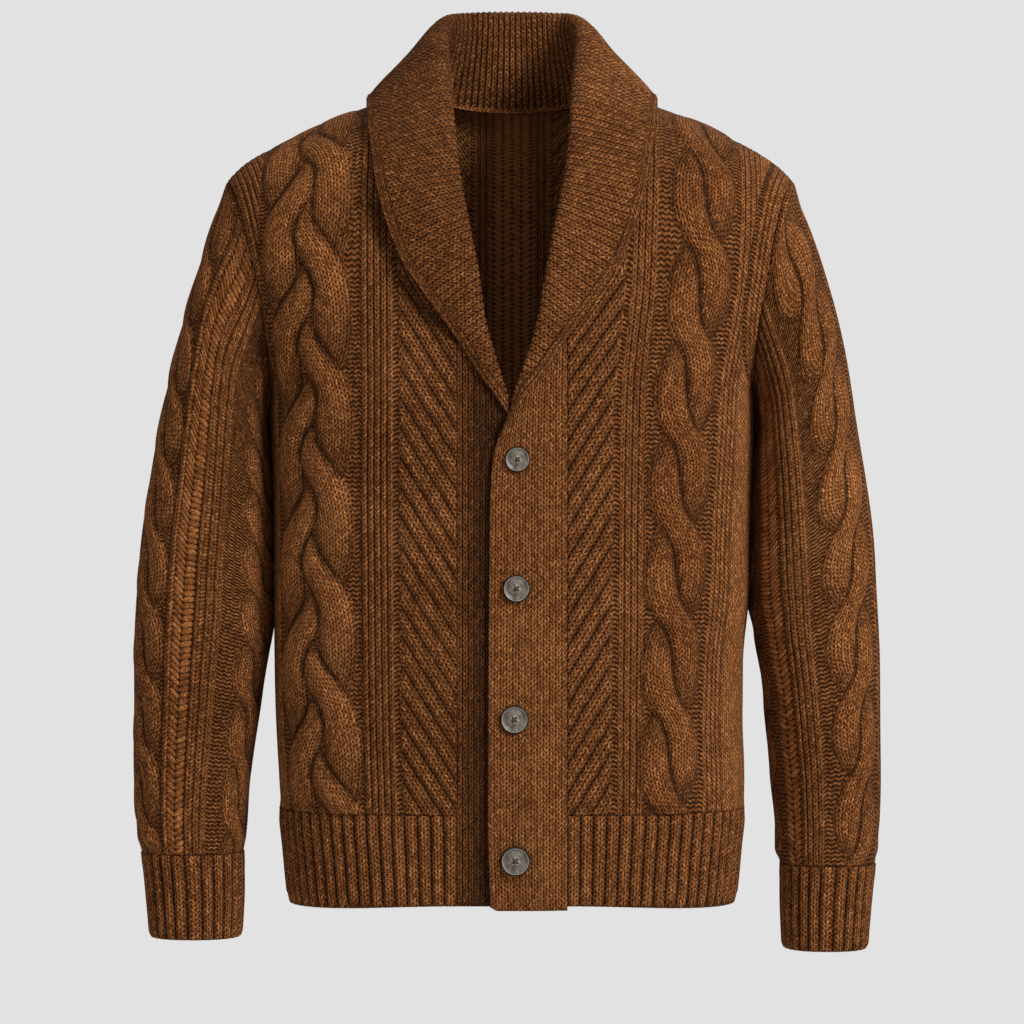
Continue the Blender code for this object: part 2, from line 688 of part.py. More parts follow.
def build_welt(name, side, spans, mirror, finish):
    """Hem rib under one panel. spans says whether it runs across both halves."""
    rows = np.array([HEM_Z, HEM_Z + 0.0060, WELT_Z - SEAM_GAP])
    swell = np.array([0.5, 1.0, 0.8])
    _, length_mid = half_section(WELT_MIDDLE_Z, side)
    begin = 0.0 if spans else BAND_SEAM_X
    marks, raised = welt_marks(begin, length_mid[-1])
    grid = []
    for level in rows:
        share, length = half_section(level, side)
        scaled = begin + (marks - begin) * (length[-1] - begin) / (length_mid[-1] - begin)
        points = torso(np.interp(scaled, length, share), np.full(len(marks), level), side)
        if spans:
            left = points[:0:-1].copy()
            left[:, 0] *= -1
            points = np.concatenate([left, points])
        grid.append(points)
    if spans:
        raised = np.concatenate([raised[:0:-1], raised])
    base = np.array(grid)
    base[..., 0] *= mirror
    relief = RAISED_WELT * swell[:, None] * raised[None, :]

    def square(grid):
        grid[0, :, 2] = HEM_Z - HEM_SAG * ease(np.abs(grid[0, :, 0]), BAND_SEAM_X, TORSO[0][1])
        grid[-1, :, 2] = WELT_Z - SEAM_GAP / 2
        for edge in (0, -1) if spans else (-1,):
            grid[:, edge, 1] = side * SEAM_GAP / 2
        if not spans:
            grid[:, 0, 0] = mirror * BAND_SEAM_X

    out = -1 if side > 0 else mirror
    return knit_wall(name, base, relief, finish, out, square=square, every=6)


def sleeve_ring(table, along, angles, blend, mirror, stretch):
    """One ring of a sleeve. blend is 1 at the armhole, where it follows the body's edge."""
    outer_x, outer_z, inner_x, inner_z, front_y, back_y = (
        float(monotone(table, column, along)) for column in range(1, 7)
    )
    outer_x += stretch[0]
    outer_z += stretch[1]
    inner_z += stretch[1]
    power = 2.0 / (2.0 + 0.3 * (1 - blend))
    cosine = np.sign(np.cos(angles)) * np.abs(np.cos(angles)) ** power
    sine = np.sign(np.sin(angles)) * np.abs(np.sin(angles)) ** power
    x = (outer_x + inner_x) / 2 + cosine * (outer_x - inner_x) / 2
    z = (outer_z + inner_z) / 2 + cosine * (outer_z - inner_z) / 2
    arm = (1 + cosine) / 2
    bowed = PIT_X + (TIP_X - PIT_X) * arm**ARMHOLE_BOW
    straight = PIT_X + (TIP_X - PIT_X) * arm
    x = x + blend * (bowed - straight)
    middle = (front_y + back_y) / 2
    y = middle - sine * (back_y - front_y) / 2
    return np.stack([mirror * x, y, z], axis=-1)


def sleeve_angles(cable, half):
    """Angles of the sleeve's columns in degrees: 0 is outermost, 90 is the front."""
    marks = list(np.linspace(cable - half, cable + half, 8))
    for k in range(5):
        aside = half + SLEEVE_RIB_START + k * SLEEVE_RIB_PITCH / 2
        marks += [cable + aside, cable - aside]
    low = min(marks) + 360
    high = max(marks)
    marks += list(np.linspace(high, low, 8)[1:-1])
    return np.sort(np.array(marks))


def sleeve_relief(angles, along, cable, half, period, twist):
    """Relief of a sleeve: one rope cable between two groups of ribs."""
    across = angles - cable
    strand = half * 0.56
    swing = half * 0.46
    raised = rope(across, along, period, 0.0, swing, strand, twist)
    height = RAISED_CABLE * 0.8 * raised
    for direction in (1, -1):
        rib = direction * across - half - SLEEVE_RIB_START
        beside = (rib > 0) & (rib < 2 * SLEEVE_RIB_PITCH)
        height = np.where(beside, RAISED_RIB * ridges(rib, SLEEVE_RIB_PITCH), height)
    return height


def build_sleeve(name, hand, finish):
    """Tapering tube from the armhole to the cuff."""
    mirror, cable, half, period, twist, reach = SLEEVE_CABLES[hand]
    degrees = sleeve_angles(cable, half)
    angles = np.radians(degrees)
    alongs = np.linspace(0, SLEEVE_LENGTH, SLEEVE_ROWS + 1)
    rings = []
    for along in alongs:
        share = along / SLEEVE_LENGTH
        stretch = (-reach[0] * ease(share, 0.1, 0.7), -reach[1] * share**2)
        blend = 1 - float(ease(along, 0.0, ARMHOLE_BLEND))
        rings.append(sleeve_ring(SLEEVE, along, angles, blend, mirror, stretch))
    base = np.array(rings)
    base[0, :, 0] += mirror * ARMHOLE_GAP
    relief = sleeve_relief(degrees[None, :], alongs[:, None], cable, half, period, twist)
    relief[(0, -1), :] = 0.0
    floor = SLEEVE[-1][2] - reach[1]

    def square(grid):
        grid[-1, :, 2] = floor + SEAM_GAP / 2
        limit = armhole_x(grid[0, :, 2]) + ARMHOLE_GAP
        grid[0, :, 0] = mirror * np.maximum(mirror * grid[0, :, 0], limit)

    return knit_wall(name, base, relief, finish, mirror, wraps=True, square=square)


def build_cuff(name, hand, finish):
    """Broad rib tube under a sleeve."""
    mirror = SLEEVE_CABLES[hand][0]
    reach = SLEEVE_CABLES[hand][-1]
    count = round(CUFF_GIRTH / WELT_PITCH)
    shares = [(k + part) / count for k in range(count) for part in (0.0, 0.28, 0.72)]
    raised = [height for _ in range(count) for height in (0.0, 1.0, 1.0)]
    angles = 2 * math.pi * np.array(shares)
    rows = np.array([0.0, CUFF[-1][0] - 0.0060, CUFF[-1][0]])
    swell = np.array([0.8, 1.0, 0.5])
    stretch = (-reach[0], -reach[1])
    rings = [sleeve_ring(CUFF, along, angles, 0.0, mirror, stretch) for along in rows]
    base = np.array(rings)
    relief = RAISED_WELT * swell[:, None] * np.array(raised)[None, :]
    top = SLEEVE[-1][2] - reach[1] - SEAM_GAP / 2

    def square(grid):
        grid[0, :, 2] = top

    return knit_wall(name, base, relief, finish, mirror, wraps=True, square=square, every=3)


def band_grid(left_edge, right_x, edge_height, lift):
    """Grid of a front band between its two edges, lifted off the body's own surface."""
    rows, columns = BAND_CELLS
    grid = np.zeros((rows + 1, columns + 1, 3))
    left_top = float(edge_height(left_edge[-1][1]))
    for i in range(rows + 1):
        share = i / rows
        left_z = BAND_BOTTOM_Z + share * (left_top - BAND_BOTTOM_Z)
        left_x = float(monotone(left_edge, 1, left_z))
        for j in range(columns + 1):
            x = left_x + (right_x - left_x) * j / columns
            top_x = left_edge[-1][1] + (right_x - left_edge[-1][1]) * j / columns
            z = BAND_BOTTOM_Z + share * (float(edge_height(top_x)) - BAND_BOTTOM_Z)
            point, _ = torso_at(x, z, -1)
            grid[i, j] = point
            grid[i, j, 1] -= lift(x)
    return grid


def neck_z(x):
    """Height of the neck line at a distance from the middle."""
    flipped = tuple((row[1], row[0]) for row in NECK_LINE[:7])
    return monotone(flipped, 1, x)


def build_top_band(name, finish):
    def edge_height(x):
        return neck_z(x) - SEAM_GAP

    right_x = BAND_SEAM_X - SEAM_GAP
    base = band_grid(FREE_EDGE, right_x, edge_height, top_band_lift)
    relief = np.zeros(base.shape[:2])

    def square(grid):
        grid[:, -1, 0] = right_x
        grid[0, :, 2] = BAND_BOTTOM_Z

    return knit_wall(name, base, relief, finish, 1, square=square, every=1)


def build_under_band(name, finish):
    def edge_height(x):
        x = abs(x)
        aside = UNDER_BAND_ASIDE * (1 - float(ease(x, *UNDER_LAPEL_X)))
        return neck_z(max(x, UNDER_BAND_LEVEL_X) - aside) - UNDER_BAND_DROP

    left_x = -BAND_SEAM_X + SEAM_GAP
    edge = ((BAND_BOTTOM_Z, left_x), (0.0, left_x))
    base = band_grid(edge, UNDER_BAND_END_X, edge_height, lambda x: 0.0)
    base[0, :, 2] = HEM_Z
    relief = np.zeros(base.shape[:2])

    def square(grid):
        grid[:, 0, 0] = left_x
        grid[0, :, 2] = HEM_Z

    return knit_wall(name, base, relief, finish, 1, square=square, every=1)


def curve_through(points, counts):
    """Points on a smooth curve through control points, with a count for each stretch."""
    points = np.asarray(points)
    padded = np.concatenate([[2 * points[0] - points[1]], points, [2 * points[-1] - points[-2]]])
    out = [points[0]]
    for i, count in enumerate(counts):
        a, b, c, d = padded[i : i + 4]
        for k in range(1, count + 1):
            t = k / count
            lean = 2 * b + (c - a) * t
            bend = (2 * a - 5 * b + 4 * c - d) * t * t
            twist = (3 * b - a - 3 * c + d) * t**3
            out.append(0.5 * (lean + bend + twist))
    return np.array(out)


def clear_of_body(point, side, clearance):
    """The point, moved out where it is nearer the body's cloth than the clearance."""
    if point[2] >= float(top_z(point[0], side)):
        return point
    surface, normal = torso_at(point[0], point[2], side)
    lacking = clearance - (point - surface).dot(normal)
    return point + normal * max(0.0, lacking)


def top_band_lift(x):
    """How far the top band's outside stands in front of the body's own surface."""
    slope = float(ease(x, TOP_BAND_FLAT_X, BAND_SEAM_X))
    return TOP_BAND_LIFT + (TOP_BAND_SEAM_LIFT - TOP_BAND_LIFT) * slope


def lapel_controls(row, upper):
    """Control points of a lapel's middle line, from neck seam over the roll to the fall edge."""
    roll_x, roll_z, edge_x, edge_z, seam_z, plan, radius, share, aside = row
    aside = 0.0 if upper else aside
    half = WALL * share / 2
    seam_x = float(monotone(NECK_LINE, 1, seam_z)) + aside
    lift = top_band_lift(seam_x) if upper and seam_x < BAND_SEAM_X else 0.0
    seam, seam_normal = torso_at(seam_x, seam_z, -1)
    roll_base, roll_normal = torso_at(roll_x + aside, roll_z, -1)
    edge_base, edge_normal = torso_at(edge_x + aside, edge_z, -1)
    on_band = seam_x < BAND_SEAM_X
    covered = lift + LAPEL_CLEARANCE if on_band else FALL_CLEARANCE
    beyond_seam = SEAM_REACH_ON_BAND if on_band else SEAM_REACH
    roll = roll_base + roll_normal * (lift - half + radius)
    end = edge_base + edge_normal * (covered + half)
    reach = roll - (seam + edge_base) / 2
    out = facing_out(plan, reach)
    reach = reach / np.linalg.norm(reach)
    start = seam + seam_normal * (lift - half) + reach * beyond_seam
    before = roll - reach * radius - out * radius
    after = roll - reach * radius + out * radius
    belly = out * LAPEL_BELLY
    low = clear_of_body(after + (end - after) / 3 + belly, -1, covered + half)
    high = clear_of_body(after + (end - after) * 2 / 3 + belly, -1, covered + half)
    return [start, (start + before) / 2, before, roll, after, low, high, end], half


def facing_out(plan, reach):
    """Unit direction from a fold's inside to its outside, square to its reach."""
    turn = math.radians(plan)
    facing = np.array([math.sin(turn), -math.cos(turn), 0.0])
    along = reach / np.linalg.norm(reach)
    out = facing - along * facing.dot(along)
    return out / np.linalg.norm(out)


def neck_controls(index, row):
    """The same control points where the collar stands round the neck."""
    roll_x, roll_y, roll_z, edge_x, edge_z, seam_angle, plan, radius = row
    half = WALL / 2
    if seam_angle < 0:
        seam_z = NECK_FRONT_SEAM_Z[index]
        seam, _ = torso_at(float(monotone(NECK_LINE, 1, seam_z)), seam_z, -1)
    else:
        turn = math.radians(seam_angle)
        seam_z = NECK_POINT_Z - (NECK_POINT_Z - NECK_Z) * math.sin(turn) ** 2
        seam = np.array([NECK_X * math.cos(turn), NECK_Y * math.sin(turn), seam_z])
    side = -1 if seam_angle <= 0 else 1
    if seam_angle == 0:
        edge_z = float(shoulder_z(edge_x))
    roll = np.array([roll_x, roll_y, roll_z])
    edge_base, edge_normal = torso_at(edge_x, edge_z, side)
    end = edge_base + edge_normal * (FALL_CLEARANCE + half)
    reach = roll - (seam + edge_base) / 2
    out = facing_out(plan, reach)
    reach = reach / np.linalg.norm(reach)
    start = seam - out * (half + NECK_SEAM_SET_IN) + reach * NECK_SEAM_REACH
    before = roll - reach * radius * 1.2 - out * radius
    after = roll - reach * radius * 1.2 + out * radius
    need = FALL_CLEARANCE + half
    low = clear_of_body(after + (end - after) / 3 + out * NECK_BELLY, side, need)
    high = clear_of_body(after + (end - after) * 2 / 3 + out * NECK_BELLY, side, need)
    stand = (start + before) / 2 - out * LAPEL_BELLY
    return [start, stand, before, roll, after, low, high, end], half


def collar_half(upper):
    """Control points of half the collar, from the V to the middle of the back."""
    stations = [lapel_controls(row, upper) for row in LAPEL]
    stations += [neck_controls(index, row) for index, row in enumerate(NECK)]
    points = np.array([controls for controls, _ in stations])
    halves = np.array([half for _, half in stations])
    if not upper:
        points[..., 0] *= -1
    return points, halves


def build_collar(name, finish):
    right, right_half = collar_half(False)
    left, left_half = collar_half(True)
    stations = np.concatenate([right, left[-2::-1]])
    halves = np.concatenate([right_half, left_half[-2::-1]])
    spans = len(stations) - 1
    lapel = len(LAPEL) - 1
    counts = [3 if lapel + 2 <= k < spans - lapel - 2 else 1 for k in range(spans)]
    counts[lapel + 1] = 2
    counts[-lapel - 2] = 2
    lines = [curve_through(stations[:, k], counts) for k in range(stations.shape[1])]
    lines = np.stack(lines, axis=1)
    thickness = curve_through(halves[:, None] * np.ones((1, 3)), counts)[:, :1]
    middle = np.array([curve_through(line, COLLAR_COLUMN_CELLS) for line in lines])
    for row in middle[lapel:-lapel]:
        for j in range(FALL_START, len(row)):
            side = -1 if row[j][1] < 0 else 1
            row[j] = clear_of_body(row[j], side, FALL_CLEARANCE + WALL / 2)
    along = np.gradient(middle, axis=0)
    across = np.gradient(middle, axis=1)
    normal = np.cross(across, along)
    normal /= np.maximum(np.linalg.norm(normal, axis=2, keepdims=True), 1e-12)
    outer = middle + normal * thickness[:, :, None]
    inner = middle - normal * thickness[:, :, None]
    rows = list(range(middle.shape[0]))
    columns = list(range(middle.shape[1]))
    flat = np.zeros(middle.shape[:2])
    return wall(name, outer, inner, rows, columns, flat, False, finish)


def build_button(index, x, z, finish, cutters):
    """Turned button with a raised rim and four holes, just off the top band."""
    name = f"button_{index}"
    mesh = bpy.data.meshes.new(name)
    count = len(BUTTON_PROFILE)
    edges = [(k, k + 1) for k in range(count - 1)]
    mesh.from_pydata([(r, 0.0, h) for r, h in BUTTON_PROFILE], edges, [])
    mesh.materials.append(finish)
    button = bpy.data.objects.new(name, mesh)
    bpy.data.collections[COLLECTION].objects.link(button)
    turn = button.modifiers.new("turn", "SCREW")
    turn.steps = 12
    turn.render_steps = 12
    turn.use_merge_vertices = True
    turn.merge_threshold = 0.0001
    turn.use_normal_calculate = True
    surface, normal = torso_at(x, z, -1)
    height = TOP_BAND_LIFT + SEAM_GAP
    direction = Vector(tuple(map(float, normal)))
    spin = direction.to_track_quat("Z", "Y").to_matrix().to_4x4()
    place = Vector((float(surface[0]), float(surface[1]) - height, float(surface[2])))
    button.matrix_world = Matrix.Translation(place) @ spin
    for corner in range(4):
        angle = math.pi / 4 + corner * math.pi / 2
        hole = bmesh.new()
        bmesh.ops.create_cone(
            hole,
            cap_ends=True,
            segments=6,
            radius1=BUTTON_HOLE_RADIUS,
            radius2=BUTTON_HOLE_RADIUS,
            depth=0.012,
        )
        offset = BUTTON_HOLE_SPACING / math.sqrt(2)
        shift = Vector((offset * math.cos(angle) * 1.4142, offset * math.sin(angle) * 1.4142, 0.001))
        bmesh.ops.translate(hole, verts=hole.verts, vec=shift)
        cutter_mesh = bpy.data.meshes.new(f"{name}_hole_{corner + 1}")
        hole.to_mesh(cutter_mesh)
        hole.free()
        cutter = bpy.data.objects.new(cutter_mesh.name, cutter_mesh)
        cutter.matrix_world = button.matrix_world
        cutter.hide_render = True
        cutter.display_type = "WIRE"
        cutters.objects.link(cutter)
        cut = button.modifiers.new(f"hole_{corner + 1}", "BOOLEAN")
        cut.operation = "DIFFERENCE"
        cut.solver = "EXACT"
        cut.object = cutter


def make_finish(name):
    colour, roughness, metallic = FINISHES[name]
    finish = bpy.data.materials.new(name)
    finish.use_nodes = True
    shader = finish.node_tree.nodes["Principled BSDF"]
    shader.inputs["Base Color"].default_value = (*colour, 1.0)
    shader.inputs["Roughness"].default_value = roughness
    shader.inputs["Metallic"].default_value = metallic
    return finish


def start_scene():
    for thing in list(bpy.data.objects):
        bpy.data.objects.remove(thing, do_unlink=True)
    parts = bpy.data.collections.new(COLLECTION)
    cutters = bpy.data.collections.new("cutters")
    bpy.context.scene.collection.children.link(parts)
    bpy.context.scene.collection.children.link(cutters)
    return cutters


def piece_finish(piece_name, kind):
    """A finish of the piece's own, so that each piece can be coloured apart."""
    finish = make_finish(kind)
    finish.name = f"{piece_name}_{kind}"
    return finish


def main():
    cutters = start_scene()
    build_front("front_right", True, -1, piece_finish("front_right", "wool"))
    build_front("front_left", False, 1, piece_finish("front_left", "wool"))
    build_back("back", piece_finish("back", "wool"))
    build_welt("welt_front_right", -1, False, -1, piece_finish("welt_front_right", "rib"))
    build_welt("welt_front_left", -1, False, 1, piece_finish("welt_front_left", "rib"))
    build_welt("welt_back", 1, True, 1, piece_finish("welt_back", "rib"))
    for hand in SLEEVE_CABLES:
        build_sleeve(f"sleeve_{hand}", hand, piece_finish(f"sleeve_{hand}", "wool"))
        build_cuff(f"cuff_{hand}", hand, piece_finish(f"cuff_{hand}", "rib"))
    build_under_band("band_right", piece_finish("band_right", "wool"))
    build_top_band("band_left", piece_finish("band_left", "wool"))
    build_collar("collar", piece_finish("collar", "rib"))
    for index, (x, z) in enumerate(BUTTONS, start=1):
        build_button(index, x, z, piece_finish(f"button_{index}", "horn"), cutters)


main()
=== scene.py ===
"""Looks of a chunky cable-knit shawl collar cardigan, dressed on its fixed frame.

Every cloth piece is a thin wall with the cables, ribs and creases in its points, and the stitches in
its material. Sizes are in metres, +Z is up and the front is towards -Y.
"""

import logging
import math
from dataclasses import dataclass
from enum import Enum
from typing import Callable, Optional, Sequence

import bmesh
import bpy
import numpy as np
from bpy.types import Material, Node, NodeSocket, NodeTree, Object
from mathutils import Matrix, Vector


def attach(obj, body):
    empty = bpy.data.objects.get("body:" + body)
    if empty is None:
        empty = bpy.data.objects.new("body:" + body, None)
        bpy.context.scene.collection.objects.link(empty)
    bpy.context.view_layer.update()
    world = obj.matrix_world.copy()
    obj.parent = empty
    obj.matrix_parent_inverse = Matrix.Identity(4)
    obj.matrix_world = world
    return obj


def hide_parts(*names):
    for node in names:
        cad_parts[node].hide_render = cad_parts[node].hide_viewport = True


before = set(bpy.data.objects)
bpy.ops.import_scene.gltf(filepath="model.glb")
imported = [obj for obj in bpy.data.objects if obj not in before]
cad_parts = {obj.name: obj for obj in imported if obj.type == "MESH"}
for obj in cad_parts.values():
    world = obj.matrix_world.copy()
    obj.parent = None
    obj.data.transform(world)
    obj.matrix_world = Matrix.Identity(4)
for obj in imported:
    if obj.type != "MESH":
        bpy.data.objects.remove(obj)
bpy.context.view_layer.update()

LOG = logging.getLogger("cardigan")

Array = np.ndarray
Table = tuple[tuple[float, ...], ...]
Colour = tuple[float, float, float]

WALL = 0.0030
SEAM_GAP = 0.0003
STITCH_WIDTH = 0.0056
STITCH_ROW = 0.0040
INNER_STEP = 5  # outer points to one inner point
SHOWN_INNER_STEP = 2  # the same where the inside of the cloth is seen
HEM_PITCH = 0.0110
MIDDLE_LEVEL = -0.35  # height at which a panel's columns are counted
STRAND_AT = 0.05  # a strand's height from which its stitches show
# painted light: the seen inside is coloured lighter, standing in for light that reaches it
INSIDE_PAINTED_LIGHT = 0.50  # how much lighter the seen inside is coloured
# painted shade: how dark the other insides are painted
INSIDE_PAINTED_SHADE = 0.55  # how dark the other insides are
KNIT_AT = 0.0004  # raised height from which the knit side shows
LEFT_TIP_IN = 0.0032  # how far the wearer's left shoulder tip is drawn in
LAP_LIFT = 0.0042  # how far the top band stands in front of the body's own surface


def monotone(rows: Table, column: int, key: Array) -> Array:
    """Look a value up in a table by monotone cubic steps.

    Args:
        rows: table whose first column is the key.
        column: column to look up.
        key: where to look.

    Returns:
        The column's value at each key.
    """
    table = np.array(rows, dtype=float)
    x = table[:, 0]
    y = table[:, column]
    step = np.diff(x)
    slope = np.diff(y) / step
    tangent = np.zeros(len(x))
    same = slope[:-1] * slope[1:] > 0
    mean = 2.0 * slope[:-1] * slope[1:] / np.where(same, slope[:-1] + slope[1:], 1.0)
    tangent[1:-1] = np.where(same, mean, 0.0)
    tangent[0] = slope[0]
    tangent[-1] = slope[-1]
    key = np.clip(np.asarray(key, dtype=float), x[0], x[-1])
    i = np.clip(np.searchsorted(x, key, side="right") - 1, 0, len(step) - 1)
    t = (key - x[i]) / step[i]
    start = (1 + 2 * t) * (1 - t) ** 2 * y[i] + t * (1 - t) ** 2 * step[i] * tangent[i]
    end = t * t * (3 - 2 * t) * y[i + 1] + t * t * (t - 1) * step[i] * tangent[i + 1]
    return start + end


def ease(value: Array, low: float, high: float) -> Array:
    """Return 0 below low, 1 above high and a smooth step between."""
    t = np.clip((np.asarray(value, dtype=float) - low) / (high - low), 0.0, 1.0)
    return t * t * (3 - 2 * t)


def between(value: Array, low: float, high: float, soft: float) -> Array:
    """Return 1 between low and high and 0 outside, over soft edges."""
    return ease(value, low - soft, low + soft) * (1 - ease(value, high - soft, high + soft))


def rise_and_fall(value: Array, *marks: float) -> Array:
    """Return 0, then 1 from the first two marks on, and 0 again past the last two."""
    return ease(value, marks[0], marks[1]) * (1 - ease(value, marks[2], marks[3]))


def wave(turn: Array, power: float = 1.0) -> Array:
    """Return 0 in the groove and 1 on the rib, at a count of ribs."""
    return (0.5 - 0.5 * np.cos(2 * math.pi * turn)) ** power


def unit(vectors: Array) -> Array:
    """Return vectors at length 1, along the last axis."""
    return vectors / np.maximum(np.linalg.norm(vectors, axis=-1, keepdims=True), 1e-12)


def travelled(points: Array, axis: int = 0) -> Array:
    """Return the length along lines of points, from 0 at their start."""
    pace = np.cumsum(np.linalg.norm(np.diff(points, axis=axis), axis=-1), axis=axis)
    return np.concatenate([np.zeros_like(np.take(pace, [0], axis=axis)), pace], axis=axis)


def mirrored(half: Array, flip: object = -1) -> Array:
    """Return a row over the whole width from its half, whose first entry is the middle."""
    return np.concatenate([half[:0:-1] * flip, half])


def put(where: Array, new: tuple, old: tuple) -> tuple:
    """Return a pair of fields, replaced where asked."""
    return np.where(where, new[0], old[0]), np.where(where, new[1], old[1])


def curve_through(points: Array, counts: Sequence[int]) -> Array:
    """Sample a smooth curve through control points.

    Args:
        points: control points, along the first axis.
        counts: samples in each stretch between two control points.

    Returns:
        The samples, with both ends.
    """
    points = np.asarray(points)
    padded = np.concatenate([[2 * points[0] - points[1]], points, [2 * points[-1] - points[-2]]])
    out = [points[:1]]
    for i, count in enumerate(counts):
        a, b, c, d = padded[i : i + 4]
        t = (np.arange(1, count + 1) / count).reshape(-1, *([1] * (points.ndim - 1)))
        lean = 2 * b + (c - a) * t
        bend = (2 * a - 5 * b + 4 * c - d) * t * t
        twist = (3 * b - a - 3 * c + d) * t**3
        out.append(0.5 * (lean + bend + twist))
    return np.concatenate(out)


def settle_shoulder(verts: Array) -> Array:
    """Return points with the wearer's left shoulder tip drawn in a little."""
    moved = verts.copy()
    moved[:, 0] -= LEFT_TIP_IN * ease(verts[:, 0], 0.17, 0.24) * ease(verts[:, 2], -0.19, -0.085)
    return moved


def grid_normals(grid: Array, wraps: bool) -> Array:
    """Return unit normals of a grid of points."""
    if wraps:
        across = np.roll(grid, -1, axis=1) - np.roll(grid, 1, axis=1)
    else:
        across = np.gradient(grid, axis=1)
    return unit(np.cross(across, np.gradient(grid, axis=0)))


def grid_spans(grid: Array, wraps: bool) -> tuple[float, float, float]:
    """Measure a grid of points as flat cloth.

    Args:
        grid: the cloth's points.
        wraps: whether its last column meets its first.

    Returns:
        Its greatest width along the rows, its greatest length along the columns, and its area.
    """
    closed = np.concatenate([grid, grid[:, :1]], axis=1) if wraps else grid
    across = np.diff(closed, axis=1)
    up = np.diff(closed, axis=0)
    width = np.linalg.norm(across, axis=2).sum(1).max()
    length = np.linalg.norm(up, axis=2).sum(0).max()
    area = np.linalg.norm(np.cross(across[:-1], up[:, :-1]), axis=2).sum()
    return float(width), float(length), float(area)


@dataclass(frozen=True)
class Figure:
    """The filled-out body that the cloth hangs on, and the lines that its pieces meet at."""

    hem_z: float = -0.6900
    welt_z: float = -0.6130
    band_bottom_z: float = -0.6935
    roll_z: float = -0.1600
    roll_length: float = 0.1950
    pit: tuple[float, float] = (0.2095, -0.2550)
    tip: tuple[float, float] = (0.2480, -0.0670)
    armhole_half_depth: float = 0.0760
    armhole_bow: float = 2.2
    squareness: float = 2.7
    neck: tuple[float, float, float] = (0.0900, 0.0780, 0.0010)
    neck_point_z: float = 0.0100
    band_seam_x: float = 0.0465
    # height, half width at the side seam, depth of the front and of the back
    sections: Table = (
        (-0.700, 0.1915, 0.1120, 0.1080),
        (-0.655, 0.1965, 0.1160, 0.1100),
        (-0.613, 0.2010, 0.1210, 0.1120),
        (-0.560, 0.2040, 0.1240, 0.1120),
        (-0.450, 0.2062, 0.1260, 0.1100),
        (-0.350, 0.2075, 0.1280, 0.1140),
        (-0.255, 0.2095, 0.1290, 0.1200),
        (-0.160, 0.2095, 0.1270, 0.1220),
    )
    # distance from the middle, height of the shoulder seam
    shoulder: Table = (
        (0.000, 0.0100), (0.090, 0.0100), (0.128, -0.0020), (0.160, -0.0145), (0.197, -0.0320),
        (0.230, -0.0500), (0.248, -0.0670), (0.260, -0.0820),
    )
    # height, distance from the middle of the line that the collar is sewn to
    neck_line: Table = (
        (-0.2900, -0.0100), (-0.2790, -0.0040), (-0.2654, 0.0040), (-0.2438, 0.0164),
        (-0.2068, 0.0358), (-0.1722, 0.0519), (-0.1293, 0.0716), (-0.0856, 0.0845),
        (-0.0469, 0.0905), (0.0100, 0.0900),
    )

    def armhole_x(self, z: Array) -> Array:
        """Return the armhole edge's distance from the middle at a height."""
        arm = np.clip((z - self.pit[1]) / (self.tip[1] - self.pit[1]), 0.0, 1.2)
        return self.pit[0] + (self.tip[0] - self.pit[0]) * arm**self.armhole_bow

    def top_z(self, x: Array, side: int) -> Array:
        """Return the height of the shoulder seam, or of the back neck's edge between them."""
        height = monotone(self.shoulder, 1, np.abs(x))
        if side > 0:
            round_neck = np.clip(1 - (x / self.neck[0]) ** 2, 0.0, 1.0)
            height = height - (self.neck_point_z - self.neck[2]) * round_neck
        return height

    def torso(self, share: Array, level: Array, side: int) -> Array:
        """Place plain cloth on the body.

        Args:
            share: 0 at the middle, 1 at the side seam or armhole.
            level: height, and above roll_z the length of cloth towards the shoulder seam.
            side: -1 for the front, 1 for the back.

        Returns:
            Points of the cloth.
        """
        share, level = np.broadcast_arrays(np.asarray(share, float), np.asarray(level, float))
        pit_z, tip_z = self.pit[1], self.tip[1]
        lean = np.clip((level - self.roll_z) / self.roll_length, 0.0, 1.0) * math.pi / 2
        low = np.minimum(level, self.roll_z)
        rise = np.sin(lean)
        edge_z = low + rise * (tip_z - self.roll_z)
        arm = np.clip((edge_z - pit_z) / (tip_z - pit_z), 0.0, 1.0)
        edge_x = np.where(level < pit_z, monotone(self.sections, 1, low), self.armhole_x(edge_z))
        edge_y = self.armhole_half_depth * np.sqrt(np.clip(1 - (2 * arm - 1) ** 2, 0.0, 1.0))
        depth = monotone(self.sections, 2 if side < 0 else 3, low)
        shrink = np.maximum(np.cos(lean), 1e-4)
        edge_share = np.clip(edge_y / (depth * shrink), 0.0, 0.62)
        reach = (1 - edge_share**self.squareness) ** (1 / self.squareness)
        x = share * edge_x
        z = low + rise * (self.top_z(x, side) - self.roll_z)
        neck_y = np.zeros_like(x)
        if side > 0:
            neck_y = self.neck[1] * np.sqrt(np.clip(1 - (x / self.neck[0]) ** 2, 0.0, 1.0))
        middle_y = neck_y + (depth - neck_y) * np.cos(lean)
        inside = np.clip(1 - (share * reach) ** self.squareness, 0.0, 1.0)
        y = side * middle_y * inside ** (1 / self.squareness)
        return np.stack([x, y, z], axis=-1)

    def edge_x(self, level: Array) -> Array:
        """Return the distance of the side seam or armhole from the middle."""
        return self.torso(1.0, level, -1)[..., 0]

    def half_section(self, level: float, side: int) -> tuple[Array, Array]:
        """Return shares across one half of the body at a level, and the cloth length at each."""
        share = 1 - (1 - np.linspace(0, 1, 160)) ** 2.5
        points = self.torso(share, np.full(share.shape, level), side)
        return share, travelled(points)

    def level_over(self, x: Array, z: Array, side: int) -> Array:
        """Return the level whose height is z at a distance x from the middle."""
        rise = np.clip((z - self.roll_z) / (self.top_z(x, side) - self.roll_z), 0.0, 1.0)
        high = self.roll_z + self.roll_length * np.arcsin(rise) / (math.pi / 2)
        return np.where(z < self.roll_z, z, high)

